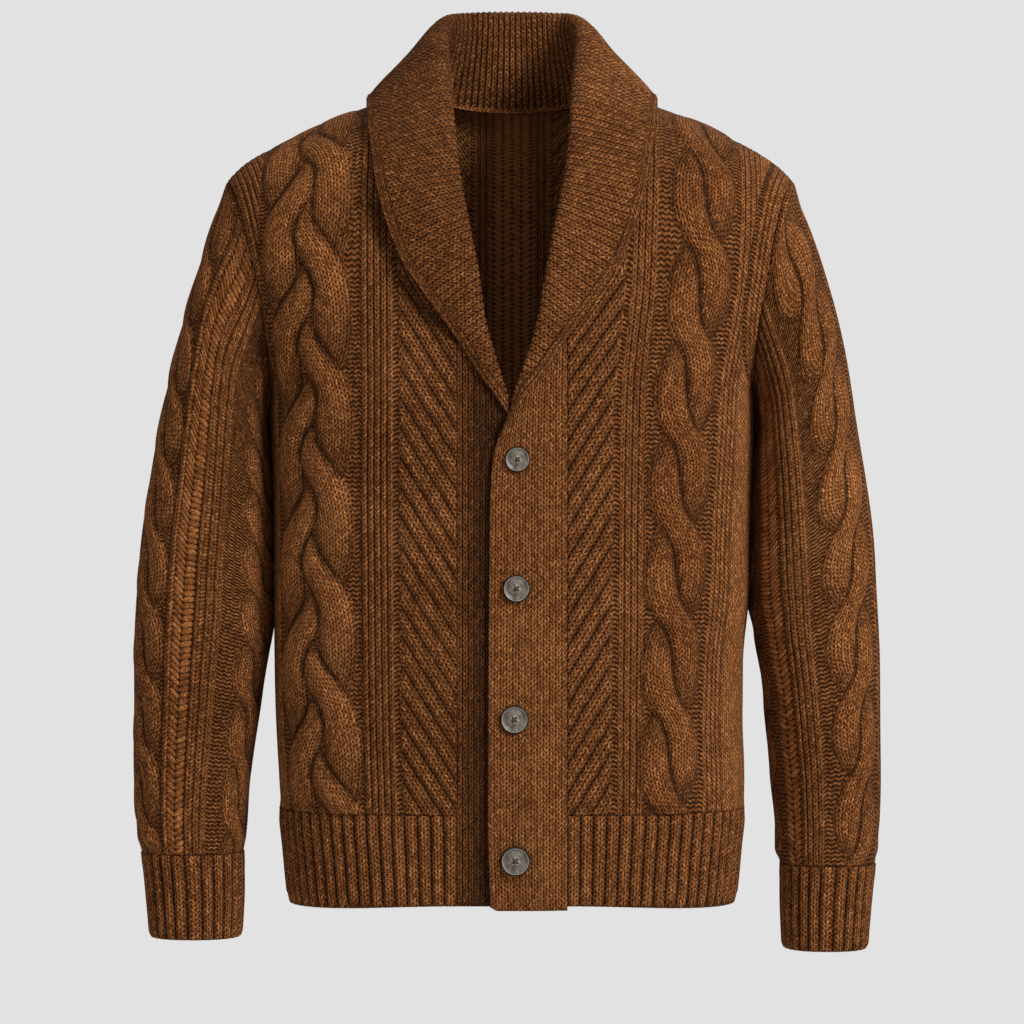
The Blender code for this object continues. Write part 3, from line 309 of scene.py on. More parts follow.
    def at(self, x: Array, z: Array, side: int) -> tuple[Array, Array]:
        """Find the body's cloth at a distance and height.

        Args:
            x: distance from the middle.
            z: height.
            side: -1 for the front, 1 for the back.

        Returns:
            The point, and the unit normal out of the body.
        """
        level = self.level_over(x, z, side)

        def place(px: Array, pl: Array) -> Array:
            """Return the body's point at a distance and level."""
            point = self.torso(np.abs(px) / self.edge_x(pl), pl, side)
            point[..., 0] = np.copysign(point[..., 0], px)
            return point

        across = place(x + 0.001, level) - place(x - 0.001, level)
        lower = np.minimum(level, self.roll_z + self.roll_length - 0.002)
        up = place(x, lower + 0.001) - place(x, lower - 0.001)
        normal = np.cross(across, up) * (1 if side < 0 else -1)
        return place(x, level), unit(normal)

    def neck_z(self, x: float) -> float:
        """Return the height of the neck line's front at a distance from the middle."""
        flipped = tuple((row[1], row[0]) for row in self.neck_line[:7])
        return float(monotone(flipped, 1, x))

    def clear_of_body(self, point: Array, side: int, clearance: float) -> Array:
        """Return the point, moved out where it is nearer the body's cloth than the clearance."""
        if point[2] >= float(self.top_z(point[0], side)):
            return point
        surface, normal = self.at(point[0], point[2], side)
        lacking = clearance - (point - surface).dot(normal)
        return point + normal * max(0.0, lacking)


FIGURE = Figure()


class Zone(Enum):
    """Kinds of knitting, as a wall's cells hold them."""

    PLAIN = 0
    PURL = 1
    RIB = 2
    SLANT = 3
    STRAND = 4


@dataclass
class Relief:
    """What a pattern says at each point of a wall."""

    height: Array
    purl: Array
    # how dark each point is painted, standing in for shade in grooves, hollows, creases and seams
    painted_shade: Array
    # how much lighter each point is painted, standing in for light; below 0 it is painted shade
    tone: Array


@dataclass(frozen=True)
class Cable:
    """Rope or plait of strands that cross over each other at an even pace."""

    strands: int
    period: float
    crossing: float
    swing: float
    half: float
    twist: int = 1
    phase: float = 0.0
    raised: float = 0.0062
    linger: float = 1.1

    def lines(self, level: Array) -> tuple[list, list, list]:
        """Return each strand's middle, height factor and slope along the level."""
        middles, overs, slopes = [], [], []
        for k in range(self.strands):
            turn = 2 * math.pi * ((level - self.crossing) / self.period + k / self.strands)
            turn = turn + self.phase
            flat = np.tanh(self.linger * np.sin(turn))
            full = math.tanh(self.linger)
            middles.append(self.swing * flat / full)
            pace = self.linger * np.cos(turn) * (1 - flat**2) / full
            slopes.append(self.swing * 2 * math.pi / self.period * pace)
            if self.strands == 3:
                overs.append(0.70 - 0.30 * np.sin(2 * turn))
            else:
                overs.append(0.70 + 0.30 * self.twist * np.cos(turn))
        return middles, overs, slopes

    def heights(self, across: Array, level: Array) -> Array:
        """Return the height of every strand, along a new first axis."""
        middles, overs, _ = self.lines(level)
        out = []
        for middle, over in zip(middles, overs):
            inside = np.clip(1 - (np.abs(across - middle) / self.half) ** 2.1, 0.0, 1.0)
            out.append(over * np.sqrt(inside))
        return np.stack(out)

    @property
    def reach(self) -> float:
        """Return how far the cable goes to either side of its middle."""
        return self.swing + self.half

    def relief(self, across: Array, level: Array) -> tuple[Array, Array]:
        """Return the raised height, and a painted-shade mask that is dark deep in a groove and at a
        strand's edge.
        """
        heights = self.heights(across, level)
        order = np.sort(heights, axis=0)
        top = order[-1]
        beside = ease(order[-2], 0.0, 0.15)
        groove = beside * (1 - ease(top - order[-2], 0.0, 0.42)) * (top > 0.02)
        edge = (1 - ease(top, 0.10, 0.72)) * (top > 0.0)
        carved = top * (1 - 0.42 * groove)
        return self.raised * carved, np.clip(groove + 0.75 * edge, 0.0, 1.0)

    def stitches(self, strand: int, across: Array, level: Array) -> tuple:
        """Return stitch coordinates that run along one strand."""
        middles, _, slopes = self.lines(level)
        offset = across - middles[strand]
        length = level * math.hypot(1.0, 0.5 * self.swing * 2 * math.pi / self.period)
        along = length + 0.9 * offset * slopes[strand]
        return offset / STITCH_WIDTH, along / STITCH_ROW


@dataclass(frozen=True)
class RibPanel:
    """Upright ribs between two distances."""

    start: float
    count: int
    pitch: float = STITCH_WIDTH
    raised: float = 0.0024

    def inside(self, across: Array) -> Array:
        """Say where the panel is."""
        return (across > self.start) & (across < self.start + self.count * self.pitch)

    def ridge(self, across: Array) -> Array:
        """Return 0 in a groove and 1 on a rib."""
        return np.where(self.inside(across), wave((across - self.start) / self.pitch, 0.6), 0.0)


@dataclass(frozen=True)
class SlantPanel:
    """Stitch columns that run up or down across a panel, each second groove deeper."""

    start: float
    end: float
    period: float = 0.0250
    slope: float = 95.0 / 58.0
    raised: float = 0.0032

    def inside(self, across: Array) -> Array:
        """Say where the panel is."""
        return (across > self.start) & (across < self.end)

    def turn(self, across: Array, level: Array) -> Array:
        """Return the count of stitch columns up to a point."""
        return (level - self.slope * (across - self.start)) / (self.period / 2)

    def ridge(self, across: Array, level: Array) -> Array:
        """Return 0 in a deep groove and 1 on a slanted column."""
        turn = self.turn(across, level)
        deep = 0.5 + 0.5 * np.cos(math.pi * turn)
        return np.clip(0.35 + 0.65 * wave(turn, 0.7) - 0.75 * deep**2, 0.0, 1.0)

    def stitches(self, across: Array, level: Array) -> tuple:
        """Return stitch coordinates that run along the slanted columns."""
        size = math.hypot(1.0, self.slope)
        along = (self.slope * level + (across - self.start)) / size
        return self.turn(across, level), along / (STITCH_ROW * 1.1)


@dataclass(frozen=True)
class PanelPattern:
    """Pattern of a front or of half the back: slanted panel, ribs, cable, ribs and a plain side."""

    layout: Table
    cable: Cable
    ribs: int
    side_ribs: int
    flip: int = 1
    slant: tuple[float, float] = (-0.060, -0.0045)
    # painted shade on the cable's strands, standing in for the shade of their deep stitches; above 0 it is
    # painted light
    strand_painted_light: float = -0.09

    def places(self, level: Array) -> tuple[Array, Array]:
        """Return where the ribs start and where the cable's middle is."""
        return monotone(self.layout, 1, level), monotone(self.layout, 2, level)

    def shifted(self, along: Array, level: Array) -> tuple[Array, Array, Array]:
        """Return distances from the rib panel's start, the cable's middle, and outward from it."""
        rib, cable = self.places(level)
        return along - rib, self.flip * (along - cable), along - cable

    def panels(self) -> tuple[RibPanel, SlantPanel, RibPanel]:
        """Return the panels, measured from the rib panel's start and the cable's edge."""
        side = RibPanel(self.cable.reach + 0.004, self.side_ribs)
        return RibPanel(0.0, self.ribs), SlantPanel(*self.slant), side

    def zones(self, along: Array, level: Array) -> Array:
        """Return each cell's kind; strands count up from Zone.STRAND."""
        from_rib, from_cable, outward = self.shifted(along, level)
        ribs, slant, side = self.panels()
        heights = self.cable.heights(from_cable, level)
        top = heights.argmax(0) + Zone.STRAND.value
        zone = np.where(heights.max(0) > STRAND_AT, top, Zone.PURL.value)
        zone = np.where(outward > self.cable.reach + 0.005, Zone.PLAIN.value, zone)
        zone = np.where(side.inside(outward), Zone.RIB.value, zone)
        zone = np.where(ribs.inside(from_rib), Zone.RIB.value, zone)
        return np.where(slant.inside(from_rib), Zone.SLANT.value, zone)

    def stitches(self, zone: Array, along: Array, level: Array) -> tuple:
        """Return stitch coordinates for cells of known kinds."""
        from_rib, from_cable, outward = self.shifted(along, level)
        _, slant, side = self.panels()
        u = np.where(outward > 0, outward - side.start, from_rib) / STITCH_WIDTH
        v = level / STITCH_ROW
        drawn = [(Zone.SLANT.value, slant.stitches(from_rib, level))]
        for k in range(self.cable.strands):
            drawn.append((Zone.STRAND.value + k, self.cable.stitches(k, from_cable, level)))
        for kind, pair in drawn:
            u, v = put(zone == kind, pair, (u, v))
        return u, v

    def relief(self, along: Array, level: Array) -> Relief:
        """Return the pattern's height and masks."""
        from_rib, from_cable, outward = self.shifted(along, level)
        ribs, slant, side = self.panels()
        raised, groove = self.cable.relief(from_cable, level)
        ribbed = ribs.ridge(from_rib)
        sided = side.ridge(outward)
        on_slant = slant.inside(from_rib)
        slanted = np.where(on_slant, slant.ridge(from_rib, level), 0.0)
        plain = ease(outward, self.cable.reach + 0.003, self.cable.reach + 0.007)
        height = np.maximum.reduce(
            [raised, ribs.raised * ribbed, side.raised * sided, slant.raised * slanted, 0.0010 * plain]
        )
        inside = np.maximum(ribs.inside(from_rib), side.inside(outward))
        dip = np.where(inside, 1 - np.maximum(ribbed, sided), 0.0)
        dip = np.maximum(dip, np.where(on_slant, 1 - slanted, 0.0))
        knit = np.maximum.reduce([raised > KNIT_AT, inside, on_slant, plain > 0.5])
        purl = 1.0 - knit.astype(float)
        # painted shade in cable grooves, rib and slant grooves, and purl
        painted_shade = np.maximum(np.maximum(groove, 0.9 * dip), 0.45 * purl)
        # painted light on the plain side and the slanted columns, painted shade on the strands
        tone = self.strand_painted_light * ease(raised, 0.0, 0.002) + 0.10 * plain
        tone = tone + 0.06 * np.where(on_slant, slanted, 0.0)
        return Relief(height, purl, painted_shade, tone)


PLAIT = Cable(3, 0.2737, -0.2374, 0.0246, 0.0178, phase=math.pi / 6, raised=0.0074)
ROPE = Cable(2, 0.1572, -0.2120, 0.0128, 0.0168, twist=-1, raised=0.0070)

RIGHT_FRONT = PanelPattern(
    layout=(
        (-0.613, 0.0960, 0.1640), (-0.500, 0.0990, 0.1740), (-0.350, 0.1000, 0.1775),
        (-0.160, 0.1000, 0.1780), (0.040, 0.1000, 0.1780),
    ),
    cable=PLAIT,
    # painted light on the plait's strands
    strand_painted_light=0.04,
    ribs=5,
    side_ribs=0,
    flip=-1,
)
LEFT_FRONT = PanelPattern(
    layout=(
        (-0.613, 0.0880, 0.1320), (-0.500, 0.0885, 0.1365), (-0.350, 0.0895, 0.1425),
        (-0.260, 0.0910, 0.1485), (-0.160, 0.1000, 0.1610), (0.040, 0.1080, 0.1730),
    ),
    cable=ROPE,
    ribs=4,
    side_ribs=4,
)
BACK_HALF = PanelPattern(
    layout=((-0.613, 0.0175, 0.1150), (0.040, 0.0180, 0.1200)),
    cable=ROPE,
    ribs=3,
    side_ribs=4,
    slant=(0.0215, 0.0640),
)


@dataclass
class Wall:
    """A closed knitted wall: fine outer points, sparse inner points, and its stitches."""

    name: str
    base: Array
    relief: Relief
    stitches: Array
    out: int
    wraps: bool = False
    shows_inside: bool = False
    square: Optional[Callable[[Array], None]] = None
    level_top: bool = False

    def picks(self, count: int, wraps: bool) -> Array:
        """Return the outer indices at which the inner points stand, with both ends."""
        last = count if wraps else count - 1
        step = SHOWN_INNER_STEP if self.shows_inside else INNER_STEP
        if self.shows_inside and count % 2:
            middle = np.arange(last // 2 % 2, last + 1, step)
            return np.unique(np.concatenate([[0], middle, [last]]))
        steps = max(3, round(last / step))
        return np.round(np.linspace(0, last, steps + 1)).astype(int)

    def build(self) -> Object:
        """Build the wall's mesh with its stitch coordinates and masks.

        Returns:
            The new object.
        """
        normal = self.out * grid_normals(self.base, self.wraps)
        if self.level_top:
            normal[-1] = (0.0, 0.0, 1.0)
        rows = self.picks(self.base.shape[0], False)
        columns = self.picks(self.base.shape[1], self.wraps)
        chosen = columns[:-1] if self.wraps else columns
        outer = self.base + normal * self.relief.height[..., None]
        follows = 0.9 * np.minimum(self.relief.height, 0.0024) if self.shows_inside else 0.0
        depth = WALL + follows * np.ones(self.base.shape[:2])
        inner = (self.base - normal * depth[..., None])[np.ix_(rows, chosen)]
        if self.square:
            self.square(outer)
            self.square(inner)
        return self.join(outer, inner, rows, columns)

    def join(self, outer: Array, inner: Array, rows: Array, columns: Array) -> Object:
        """Join the two grids at their rims and make the object.

        Args:
            outer: the outside's points.
            inner: the inside's points.
            rows: outer rows at which the inner rows stand.
            columns: outer columns at which the inner columns stand.

        Returns:
            The new object.
        """
        outer_ids = np.arange(outer.shape[0] * outer.shape[1]).reshape(outer.shape[:2])
        inner_ids = outer_ids.size + np.arange(inner.shape[0] * inner.shape[1])
        inner_ids = inner_ids.reshape(inner.shape[:2])
        quads = [cells(outer_ids, self.wraps), cells(inner_ids, self.wraps)[:, ::-1]]
        rim: list[tuple[int, int, int]] = []
        for edge, turned in ((0, False), (-1, True)):
            rim += bridge(outer_ids[edge], inner_ids[edge], columns, turned)
            if not self.wraps:
                rim += bridge(outer_ids[:, edge], inner_ids[:, edge], rows, not turned)
        chosen = columns[:-1] if self.wraps else columns
        picked = np.ix_(rows, chosen)
        purl, painted_shade, tone = self.relief.purl[picked], self.relief.painted_shade[picked], self.relief.tone[picked]
        # the seen inside is painted lighter, standing in for light; the other insides are painted in shade
        if self.shows_inside:
            tone = tone + INSIDE_PAINTED_LIGHT
        else:
            purl, painted_shade = np.ones(purl.shape), np.full(painted_shade.shape, INSIDE_PAINTED_SHADE)
        fields = (self.relief.purl, purl), (self.relief.painted_shade, painted_shade), (self.relief.tone, tone)
        masks = [np.concatenate([field.ravel(), behind.ravel()]) for field, behind in fields]
        point_uv = self.point_stitches()
        behind_uv = point_uv[picked]
        plain_uv = np.concatenate([point_uv.reshape(-1, 2), behind_uv.reshape(-1, 2)])
        inside_uv = plain_uv[quads[1].ravel()]
        if self.shows_inside:
            inside_uv = self.stitches_behind(rows, columns).reshape(-1, 2)
        corners = [self.stitches.reshape(-1, 2), inside_uv]
        corners.append(plain_uv[np.array(rim).ravel()])
        verts = np.concatenate([outer.reshape(-1, 3), inner.reshape(-1, 3)])
        return make_mesh(self.name, verts, np.concatenate(quads), rim, corners, masks)

    def stitches_behind(self, rows: Array, columns: Array) -> Array:
        """Return the stitch coordinates of the inside's corners, from the cells before them."""
        low, high = rows[:-1], rows[1:] - 1
        near, far = columns[:-1], columns[1:] - 1
        picked = [
            self.stitches[np.ix_(low, near)][:, :, 0],
            self.stitches[np.ix_(low, far)][:, :, 1],
            self.stitches[np.ix_(high, far)][:, :, 2],
            self.stitches[np.ix_(high, near)][:, :, 3],
        ]
        return np.stack(picked, axis=2)[:, :, ::-1]

    def point_stitches(self) -> Array:
        """Return one pair of stitch coordinates a point, for the inside and the rims."""
        rows, columns = self.base.shape[:2]
        span = grid_spans(self.base, self.wraps)
        u = np.linspace(0, span[0] / STITCH_WIDTH, columns)
        v = np.linspace(0, span[1] / STITCH_ROW, rows)
        return np.stack(np.broadcast_arrays(u[None, :], v[:, None]), axis=-1)


def cells(ids: Array, wraps: bool) -> Array:
    """Return the four corner ids of each cell of a grid."""
    near = ids if wraps else ids[:, :-1]
    far = np.roll(ids, -1, axis=1) if wraps else ids[:, 1:]
    grid = np.stack([near[:-1], far[:-1], far[1:], near[1:]], axis=-1)
    return grid.reshape(-1, 4)


def cell_corners(field: Array, wraps: bool, period: float = 0.0) -> Array:
    """Return a field at the four corners of each cell.

    Args:
        field: values at the grid's points.
        wraps: whether the last column meets the first.
        period: how far the field grows over one turn, where it wraps.

    Returns:
        The values, with a last axis of four corners.
    """
    if wraps:
        far = np.roll(field, -1, axis=1).copy()
        far[:, -1] = field[:, 0] + period
        near = field
    else:
        near, far = field[:, :-1], field[:, 1:]
    return np.stack([near[:-1], far[:-1], far[1:], near[1:]], axis=-1)


def bridge(outer: Array, inner: Array, picks: Array, turned: bool) -> list:
    """Fill between a fine rim and a sparse one.

    Args:
        outer: the fine rim's point ids.
        inner: the sparse rim's point ids.
        picks: where on the fine rim each sparse point stands.
        turned: whether the triangles face the other way.

    Returns:
        The triangles.
    """
    faces = []
    for k in range(len(picks) - 1):
        first, last = int(picks[k]), int(picks[k + 1])
        middle = (first + last) // 2
        near, far = int(inner[k]), int(inner[(k + 1) % len(inner)])
        for j in range(first, last):
            tip = near if j < middle else far
            faces.append((int(outer[j]), tip, int(outer[(j + 1) % len(outer)])))
        faces.append((int(outer[middle % len(outer)]), near, far))
    return [face[::-1] for face in faces] if turned else faces


def put_in_scene(name: str, data: Optional[bpy.types.ID]) -> Object:
    """Make an object from its data and link it to the scene."""
    made = bpy.data.objects.new(name, data)
    bpy.context.scene.collection.objects.link(made)
    return made


def make_mesh(
    name: str,
    verts: Array,
    quads: Array,
    tris: Sequence[tuple[int, int, int]],
    corners: list,
    masks: list,
) -> Object:
    """Make an object from arrays, facing out, with stitch coordinates and masks.

    Args:
        name: the object's name.
        verts: points.
        quads: faces of four corners.
        tris: faces of three corners.
        corners: stitch coordinates of the quads' and then the triangles' corners.
        masks: purl, painted shade and painted light of each point.

    Returns:
        The new object.
    """
    verts = settle_shoulder(verts)
    tris_array = np.array(tris, dtype=int).reshape(-1, 3)
    stitch = np.concatenate(corners)
    a, b, c, d = (verts[quads[:, k]] for k in range(4))
    volume = np.einsum("ij,ij->i", a, np.cross(b, c) + np.cross(c, d)).sum()
    if volume < 0:
        first, second = stitch[: quads.size], stitch[quads.size :]
        quads = quads[:, ::-1]
        tris_array = tris_array[:, ::-1]
        turned = [part.reshape(-1, n, 2)[:, ::-1].reshape(-1, 2) for part, n in ((first, 4), (second, 3))]
        stitch = np.concatenate(turned)
    mesh = bpy.data.meshes.new(name)
    loops = np.concatenate([quads.ravel(), tris_array.ravel()]).astype(np.int32)
    totals = np.concatenate([np.full(len(quads), 4), np.full(len(tris_array), 3)])
    starts = np.concatenate([[0], np.cumsum(totals)[:-1]])
    mesh.vertices.add(len(verts))
    mesh.vertices.foreach_set("co", verts.astype(np.float32).ravel())
    mesh.loops.add(len(loops))
    mesh.loops.foreach_set("vertex_index", loops)
    mesh.polygons.add(len(totals))
    mesh.polygons.foreach_set("loop_start", starts.astype(np.int32))
    mesh.update(calc_edges=True)
    layer = mesh.uv_layers.new(name="stitch")
    layer.data.foreach_set("uv", stitch.astype(np.float32).ravel())
    knit = mesh.attributes.new("knit", "FLOAT_COLOR", "POINT")
    rgba = np.stack([*masks, np.ones(len(verts))], axis=-1)
    knit.data.foreach_set("color", rgba.astype(np.float32).ravel())
    mesh.validate()
    mesh.shade_smooth()
    return put_in_scene(name, mesh)


class Nodes:
    """Short way to write a node tree."""

    def __init__(self, tree: NodeTree) -> None:
        """Keep the tree that the nodes go in."""
        self.tree = tree

    def add(self, kind: str, **settings: object) -> Node:
        """Add a node and set its properties."""
        node = self.tree.nodes.new(kind)
        for key, value in settings.items():
            setattr(node, key, value)
        return node

    def feed(self, socket: NodeSocket, value: object) -> None:
        """Link a socket, or set it to a plain value."""
        if isinstance(value, NodeSocket):
            self.tree.links.new(value, socket)
        else:
            socket.default_value = value

    def fill(self, node: Node, values: dict) -> Optional[NodeSocket]:
        """Feed a node's inputs, by name or number, and return its first output if it has one."""
        for key, value in values.items():
            self.feed(node.inputs[key], value)
        return node.outputs[0] if node.outputs else None

    def math(self, operation: str, *values: object, clamp: bool = False) -> NodeSocket:
        """Add a maths node."""
        node = self.add("ShaderNodeMath", operation=operation, use_clamp=clamp)
        return self.fill(node, dict(enumerate(values)))

    def vector(self, operation: str, *values: object) -> NodeSocket:
        """Add a vector maths node."""
        node = self.add("ShaderNodeVectorMath", operation=operation)
        return self.fill(node, dict(enumerate(values)))

    def span(
        self, value: object, low: float, high: float, start: float = 0.0, end: float = 1.0
    ) -> NodeSocket:
        """Map a value from one span to another, smoothly and clamped."""
        node = self.add("ShaderNodeMapRange", interpolation_type="SMOOTHSTEP")
        return self.fill(node, dict(enumerate((value, low, high, start, end))))

    def mix(self, share: object, first: object, second: object, blend: str = "MIX") -> NodeSocket:
        """Mix two colours."""
        node = self.add("ShaderNodeMix", data_type="RGBA", blend_type=blend)
        self.fill(node, {0: share, 6: first, 7: second})
        return node.outputs[2]

    def bump(self, height: object, strength: float = 1.0, distance: float = 1.0) -> NodeSocket:
        """Add a bump node and return its normal."""
        values = {"Strength": strength, "Distance": distance, "Height": height}
        return self.fill(self.add("ShaderNodeBump"), values)

    def place(self) -> NodeSocket:
        """Return the place on the object."""
        return self.add("ShaderNodeTexCoord").outputs["Object"]

    def principled(self, settings: dict) -> None:
        """Add the shader with its settings by socket name, and the material's output."""
        shader = self.add("ShaderNodeBsdfPrincipled")
        self.fill(shader, settings)
        self.feed(self.add("ShaderNodeOutputMaterial").inputs[0], shader.outputs[0])

    def noise(self, place: object, scale: float, detail: float = 2.0, rough: float = 0.5) -> NodeSocket:
        """Add a noise texture and return its value."""
        values = {"Vector": place, "Scale": scale, "Detail": detail, "Roughness": rough}
        return self.fill(self.add("ShaderNodeTexNoise"), values)


def start_material(name: str) -> tuple[Material, Nodes]:
    """Make a material with an empty node tree."""
    material = bpy.data.materials.new(name)
    material.use_nodes = True
    material.node_tree.nodes.clear()
    return material, Nodes(material.node_tree)


def start_group(name: str, inputs: dict, outputs: dict) -> tuple:
    """Start a shader node group.

    Args:
        name: the group's name.
        inputs: socket types by name.
        outputs: socket types by name.

    Returns:
        The group, its nodes, and its input and output nodes.
    """
    group = bpy.data.node_groups.new(name, "ShaderNodeTree")
    for key, kind in inputs.items():
        group.interface.new_socket(name=key, in_out="INPUT", socket_type=kind)
    for key, kind in outputs.items():
        group.interface.new_socket(name=key, in_out="OUTPUT", socket_type=kind)
    nodes = Nodes(group)
    return group, nodes, nodes.add("NodeGroupInput"), nodes.add("NodeGroupOutput")


def stitch_group() -> NodeTree:
    """Build the group that draws knit and purl stitches from stitch coordinates, with a painted-shade mask
    for the gaps between their legs.
    """
    group, n, given, out = start_group(
        "knit_stitch",
        {"Stitch": "NodeSocketVector", "Purl": "NodeSocketFloat"},
        {"Height": "NodeSocketFloat", "Gap Shade": "NodeSocketFloat", "Yarn": "NodeSocketFloat"},
    )
    split = n.add("ShaderNodeSeparateXYZ")
    n.feed(split.inputs[0], given.outputs["Stitch"])
    u, v = split.outputs[0], split.outputs[1]
    aside = n.math("ABSOLUTE", n.math("SUBTRACT", n.math("FRACT", u), 0.5))
    leaned = n.math("SUBTRACT", v, n.math("MULTIPLY", aside, 1.7))
    turn = n.math("FRACT", leaned)
    from_leg = n.math("MULTIPLY", n.math("ABSOLUTE", n.math("SUBTRACT", aside, 0.25)), 4.0)
    from_row = n.math("MULTIPLY", n.math("ABSOLUTE", n.math("SUBTRACT", turn, 0.5)), 2.0)
    narrow = n.math("MULTIPLY", n.math("POWER", from_leg, 2.4), 0.80)
    short = n.math("MULTIPLY", n.math("POWER", from_row, 2.6), 0.85)
    grain = n.math("SUBTRACT", n.math("SUBTRACT", 1.0, narrow), short, clamp=True)
    knit = n.math("SQRT", grain)
    wave = n.math("COSINE", n.math("MULTIPLY", u, 2 * math.pi))
    purl_turn = n.math("FRACT", n.math("MULTIPLY_ADD", wave, 0.16, v))
    bump = n.math("SINE", n.math("MULTIPLY", purl_turn, math.pi))
    purl = n.math("MULTIPLY", bump, n.math("MULTIPLY_ADD", wave, 0.12, 0.82))
    height = n.add("ShaderNodeMix", data_type="FLOAT")
    n.fill(height, {0: given.outputs["Purl"], 2: knit, 3: purl})
    cell = n.add("ShaderNodeCombineXYZ")
    n.fill(cell, {0: n.math("FLOOR", n.math("MULTIPLY", u, 2.0)), 1: n.math("FLOOR", leaned)})
    chance = n.add("ShaderNodeTexWhiteNoise", noise_dimensions="2D")
    n.feed(chance.inputs["Vector"], cell.outputs[0])
    # painted shade in the gaps between the stitches' legs
    gap_shade = n.span(height.outputs[0], 0.10, 0.80, 1.0, 0.0)
    n.fill(out, {"Height": height.outputs[0], "Gap Shade": gap_shade, "Yarn": chance.outputs["Value"]})
    return group


def marl_group() -> NodeTree:
    """Build the group that colours heathered yarn, with painted shade in the stitch gaps and hollows,
    painted light and shade from its mask, and paler where it is worn.
    """
    group, n, given, out = start_group(
        "marl",
        {key: "NodeSocketColor" for key in ("Dark", "Middle", "Light")}
        | {key: "NodeSocketFloat" for key in ("Yarn", "Gap Shade", "Painted Shade", "Painted Light")},
        {"Color": "NodeSocketColor", "Fuzz": "NodeSocketFloat", "Roughness": "NodeSocketFloat"},
    )
    place = n.place()
    fleck = n.noise(place, 620.0, 3.0, 0.7)
    fibre = n.noise(n.vector("MULTIPLY", place, (1.0, 1.0, 0.45)), 1500.0, 2.0, 0.6)
    patch = n.noise(place, 9.0, 3.0, 0.6)
    grain = n.math("ADD", n.math("MULTIPLY", fleck, 0.62), n.math("MULTIPLY", fibre, 0.38))
    yarn = n.math("MULTIPLY", n.math("SUBTRACT", given.outputs["Yarn"], 0.5), 0.34)
    value = n.math("ADD", n.span(grain, 0.30, 0.70), yarn)
    value = n.math("ADD", value, n.math("MULTIPLY", n.math("SUBTRACT", patch, 0.5), 0.35))
    # painted light and shade shift the yarn's lightness
    value = n.math("ADD", value, given.outputs["Painted Light"])
    low = n.mix(n.span(value, 0.0, 0.5), given.outputs["Dark"], given.outputs["Middle"])
    colour = n.mix(n.span(value, 0.5, 1.05), low, given.outputs["Light"])
    # painted shade: darker in the stitch gaps and where the painted-shade mask is high
    shade = n.math("MULTIPLY", given.outputs["Gap Shade"], 0.84)
    deep = n.math("MULTIPLY", given.outputs["Painted Shade"], 0.80)
    keep = n.math("MULTIPLY", n.math("SUBTRACT", 1.0, shade), n.math("SUBTRACT", 1.0, deep))
    worn = n.math("MULTIPLY", n.span(patch, 0.52, 0.70), 0.10)
    colour = n.mix(worn, colour, given.outputs["Light"])
    dimmed = n.add("ShaderNodeVectorMath", operation="SCALE")
    n.fill(dimmed, {0: colour, "Scale": keep})
    rough = n.span(grain, 0.2, 0.8, 0.80, 0.98)
    n.fill(out, {"Color": dimmed.outputs[0], "Fuzz": grain, "Roughness": rough})
    return group


@dataclass(frozen=True)
class Wool:
    """Heathered wool, knitted."""

    name: str
    dark: Colour = (0.066, 0.019, 0.005)
    middle: Colour = (0.250, 0.081, 0.0205)
    light: Colour = (0.650, 0.266, 0.088)
    depth: float = 0.0020
    fuzz: float = 0.0003

    def make(self, groups: dict) -> Material:
        """Build the material."""
        material, n = start_material(self.name)
        uv = n.add("ShaderNodeUVMap", uv_map="stitch").outputs[0]
        knit = n.add("ShaderNodeAttribute", attribute_name="knit")
        masks = n.add("ShaderNodeSeparateColor")
        n.feed(masks.inputs[0], knit.outputs["Color"])
        stitch = n.add("ShaderNodeGroup", node_tree=groups["stitch"])
        n.fill(stitch, {"Stitch": uv, "Purl": masks.outputs[0]})
        marl = n.add("ShaderNodeGroup", node_tree=groups["marl"])
        yarn, gap_shade = stitch.outputs["Yarn"], stitch.outputs["Gap Shade"]
        n.fill(marl, {"Yarn": yarn, "Gap Shade": gap_shade, "Painted Shade": masks.outputs[1], "Painted Light": masks.outputs[2]})
        for key, colour in (("Dark", self.dark), ("Middle", self.middle), ("Light", self.light)):
            n.feed(marl.inputs[key], (*colour, 1.0))
        rise = n.math("MULTIPLY", stitch.outputs["Height"], self.depth)
        hair = n.math("MULTIPLY", marl.outputs["Fuzz"], self.fuzz)
        n.principled(
            {
                "Base Color": marl.outputs["Color"],
                "Roughness": marl.outputs["Roughness"],
                "Normal": n.bump(n.math("ADD", rise, hair)),
                "Specular IOR Level": 0.06,
                "Sheen Weight": 0.035,
                "Sheen Roughness": 0.5,
                "Sheen Tint": (0.80, 0.55, 0.38, 1.0),
            }
        )
        return material


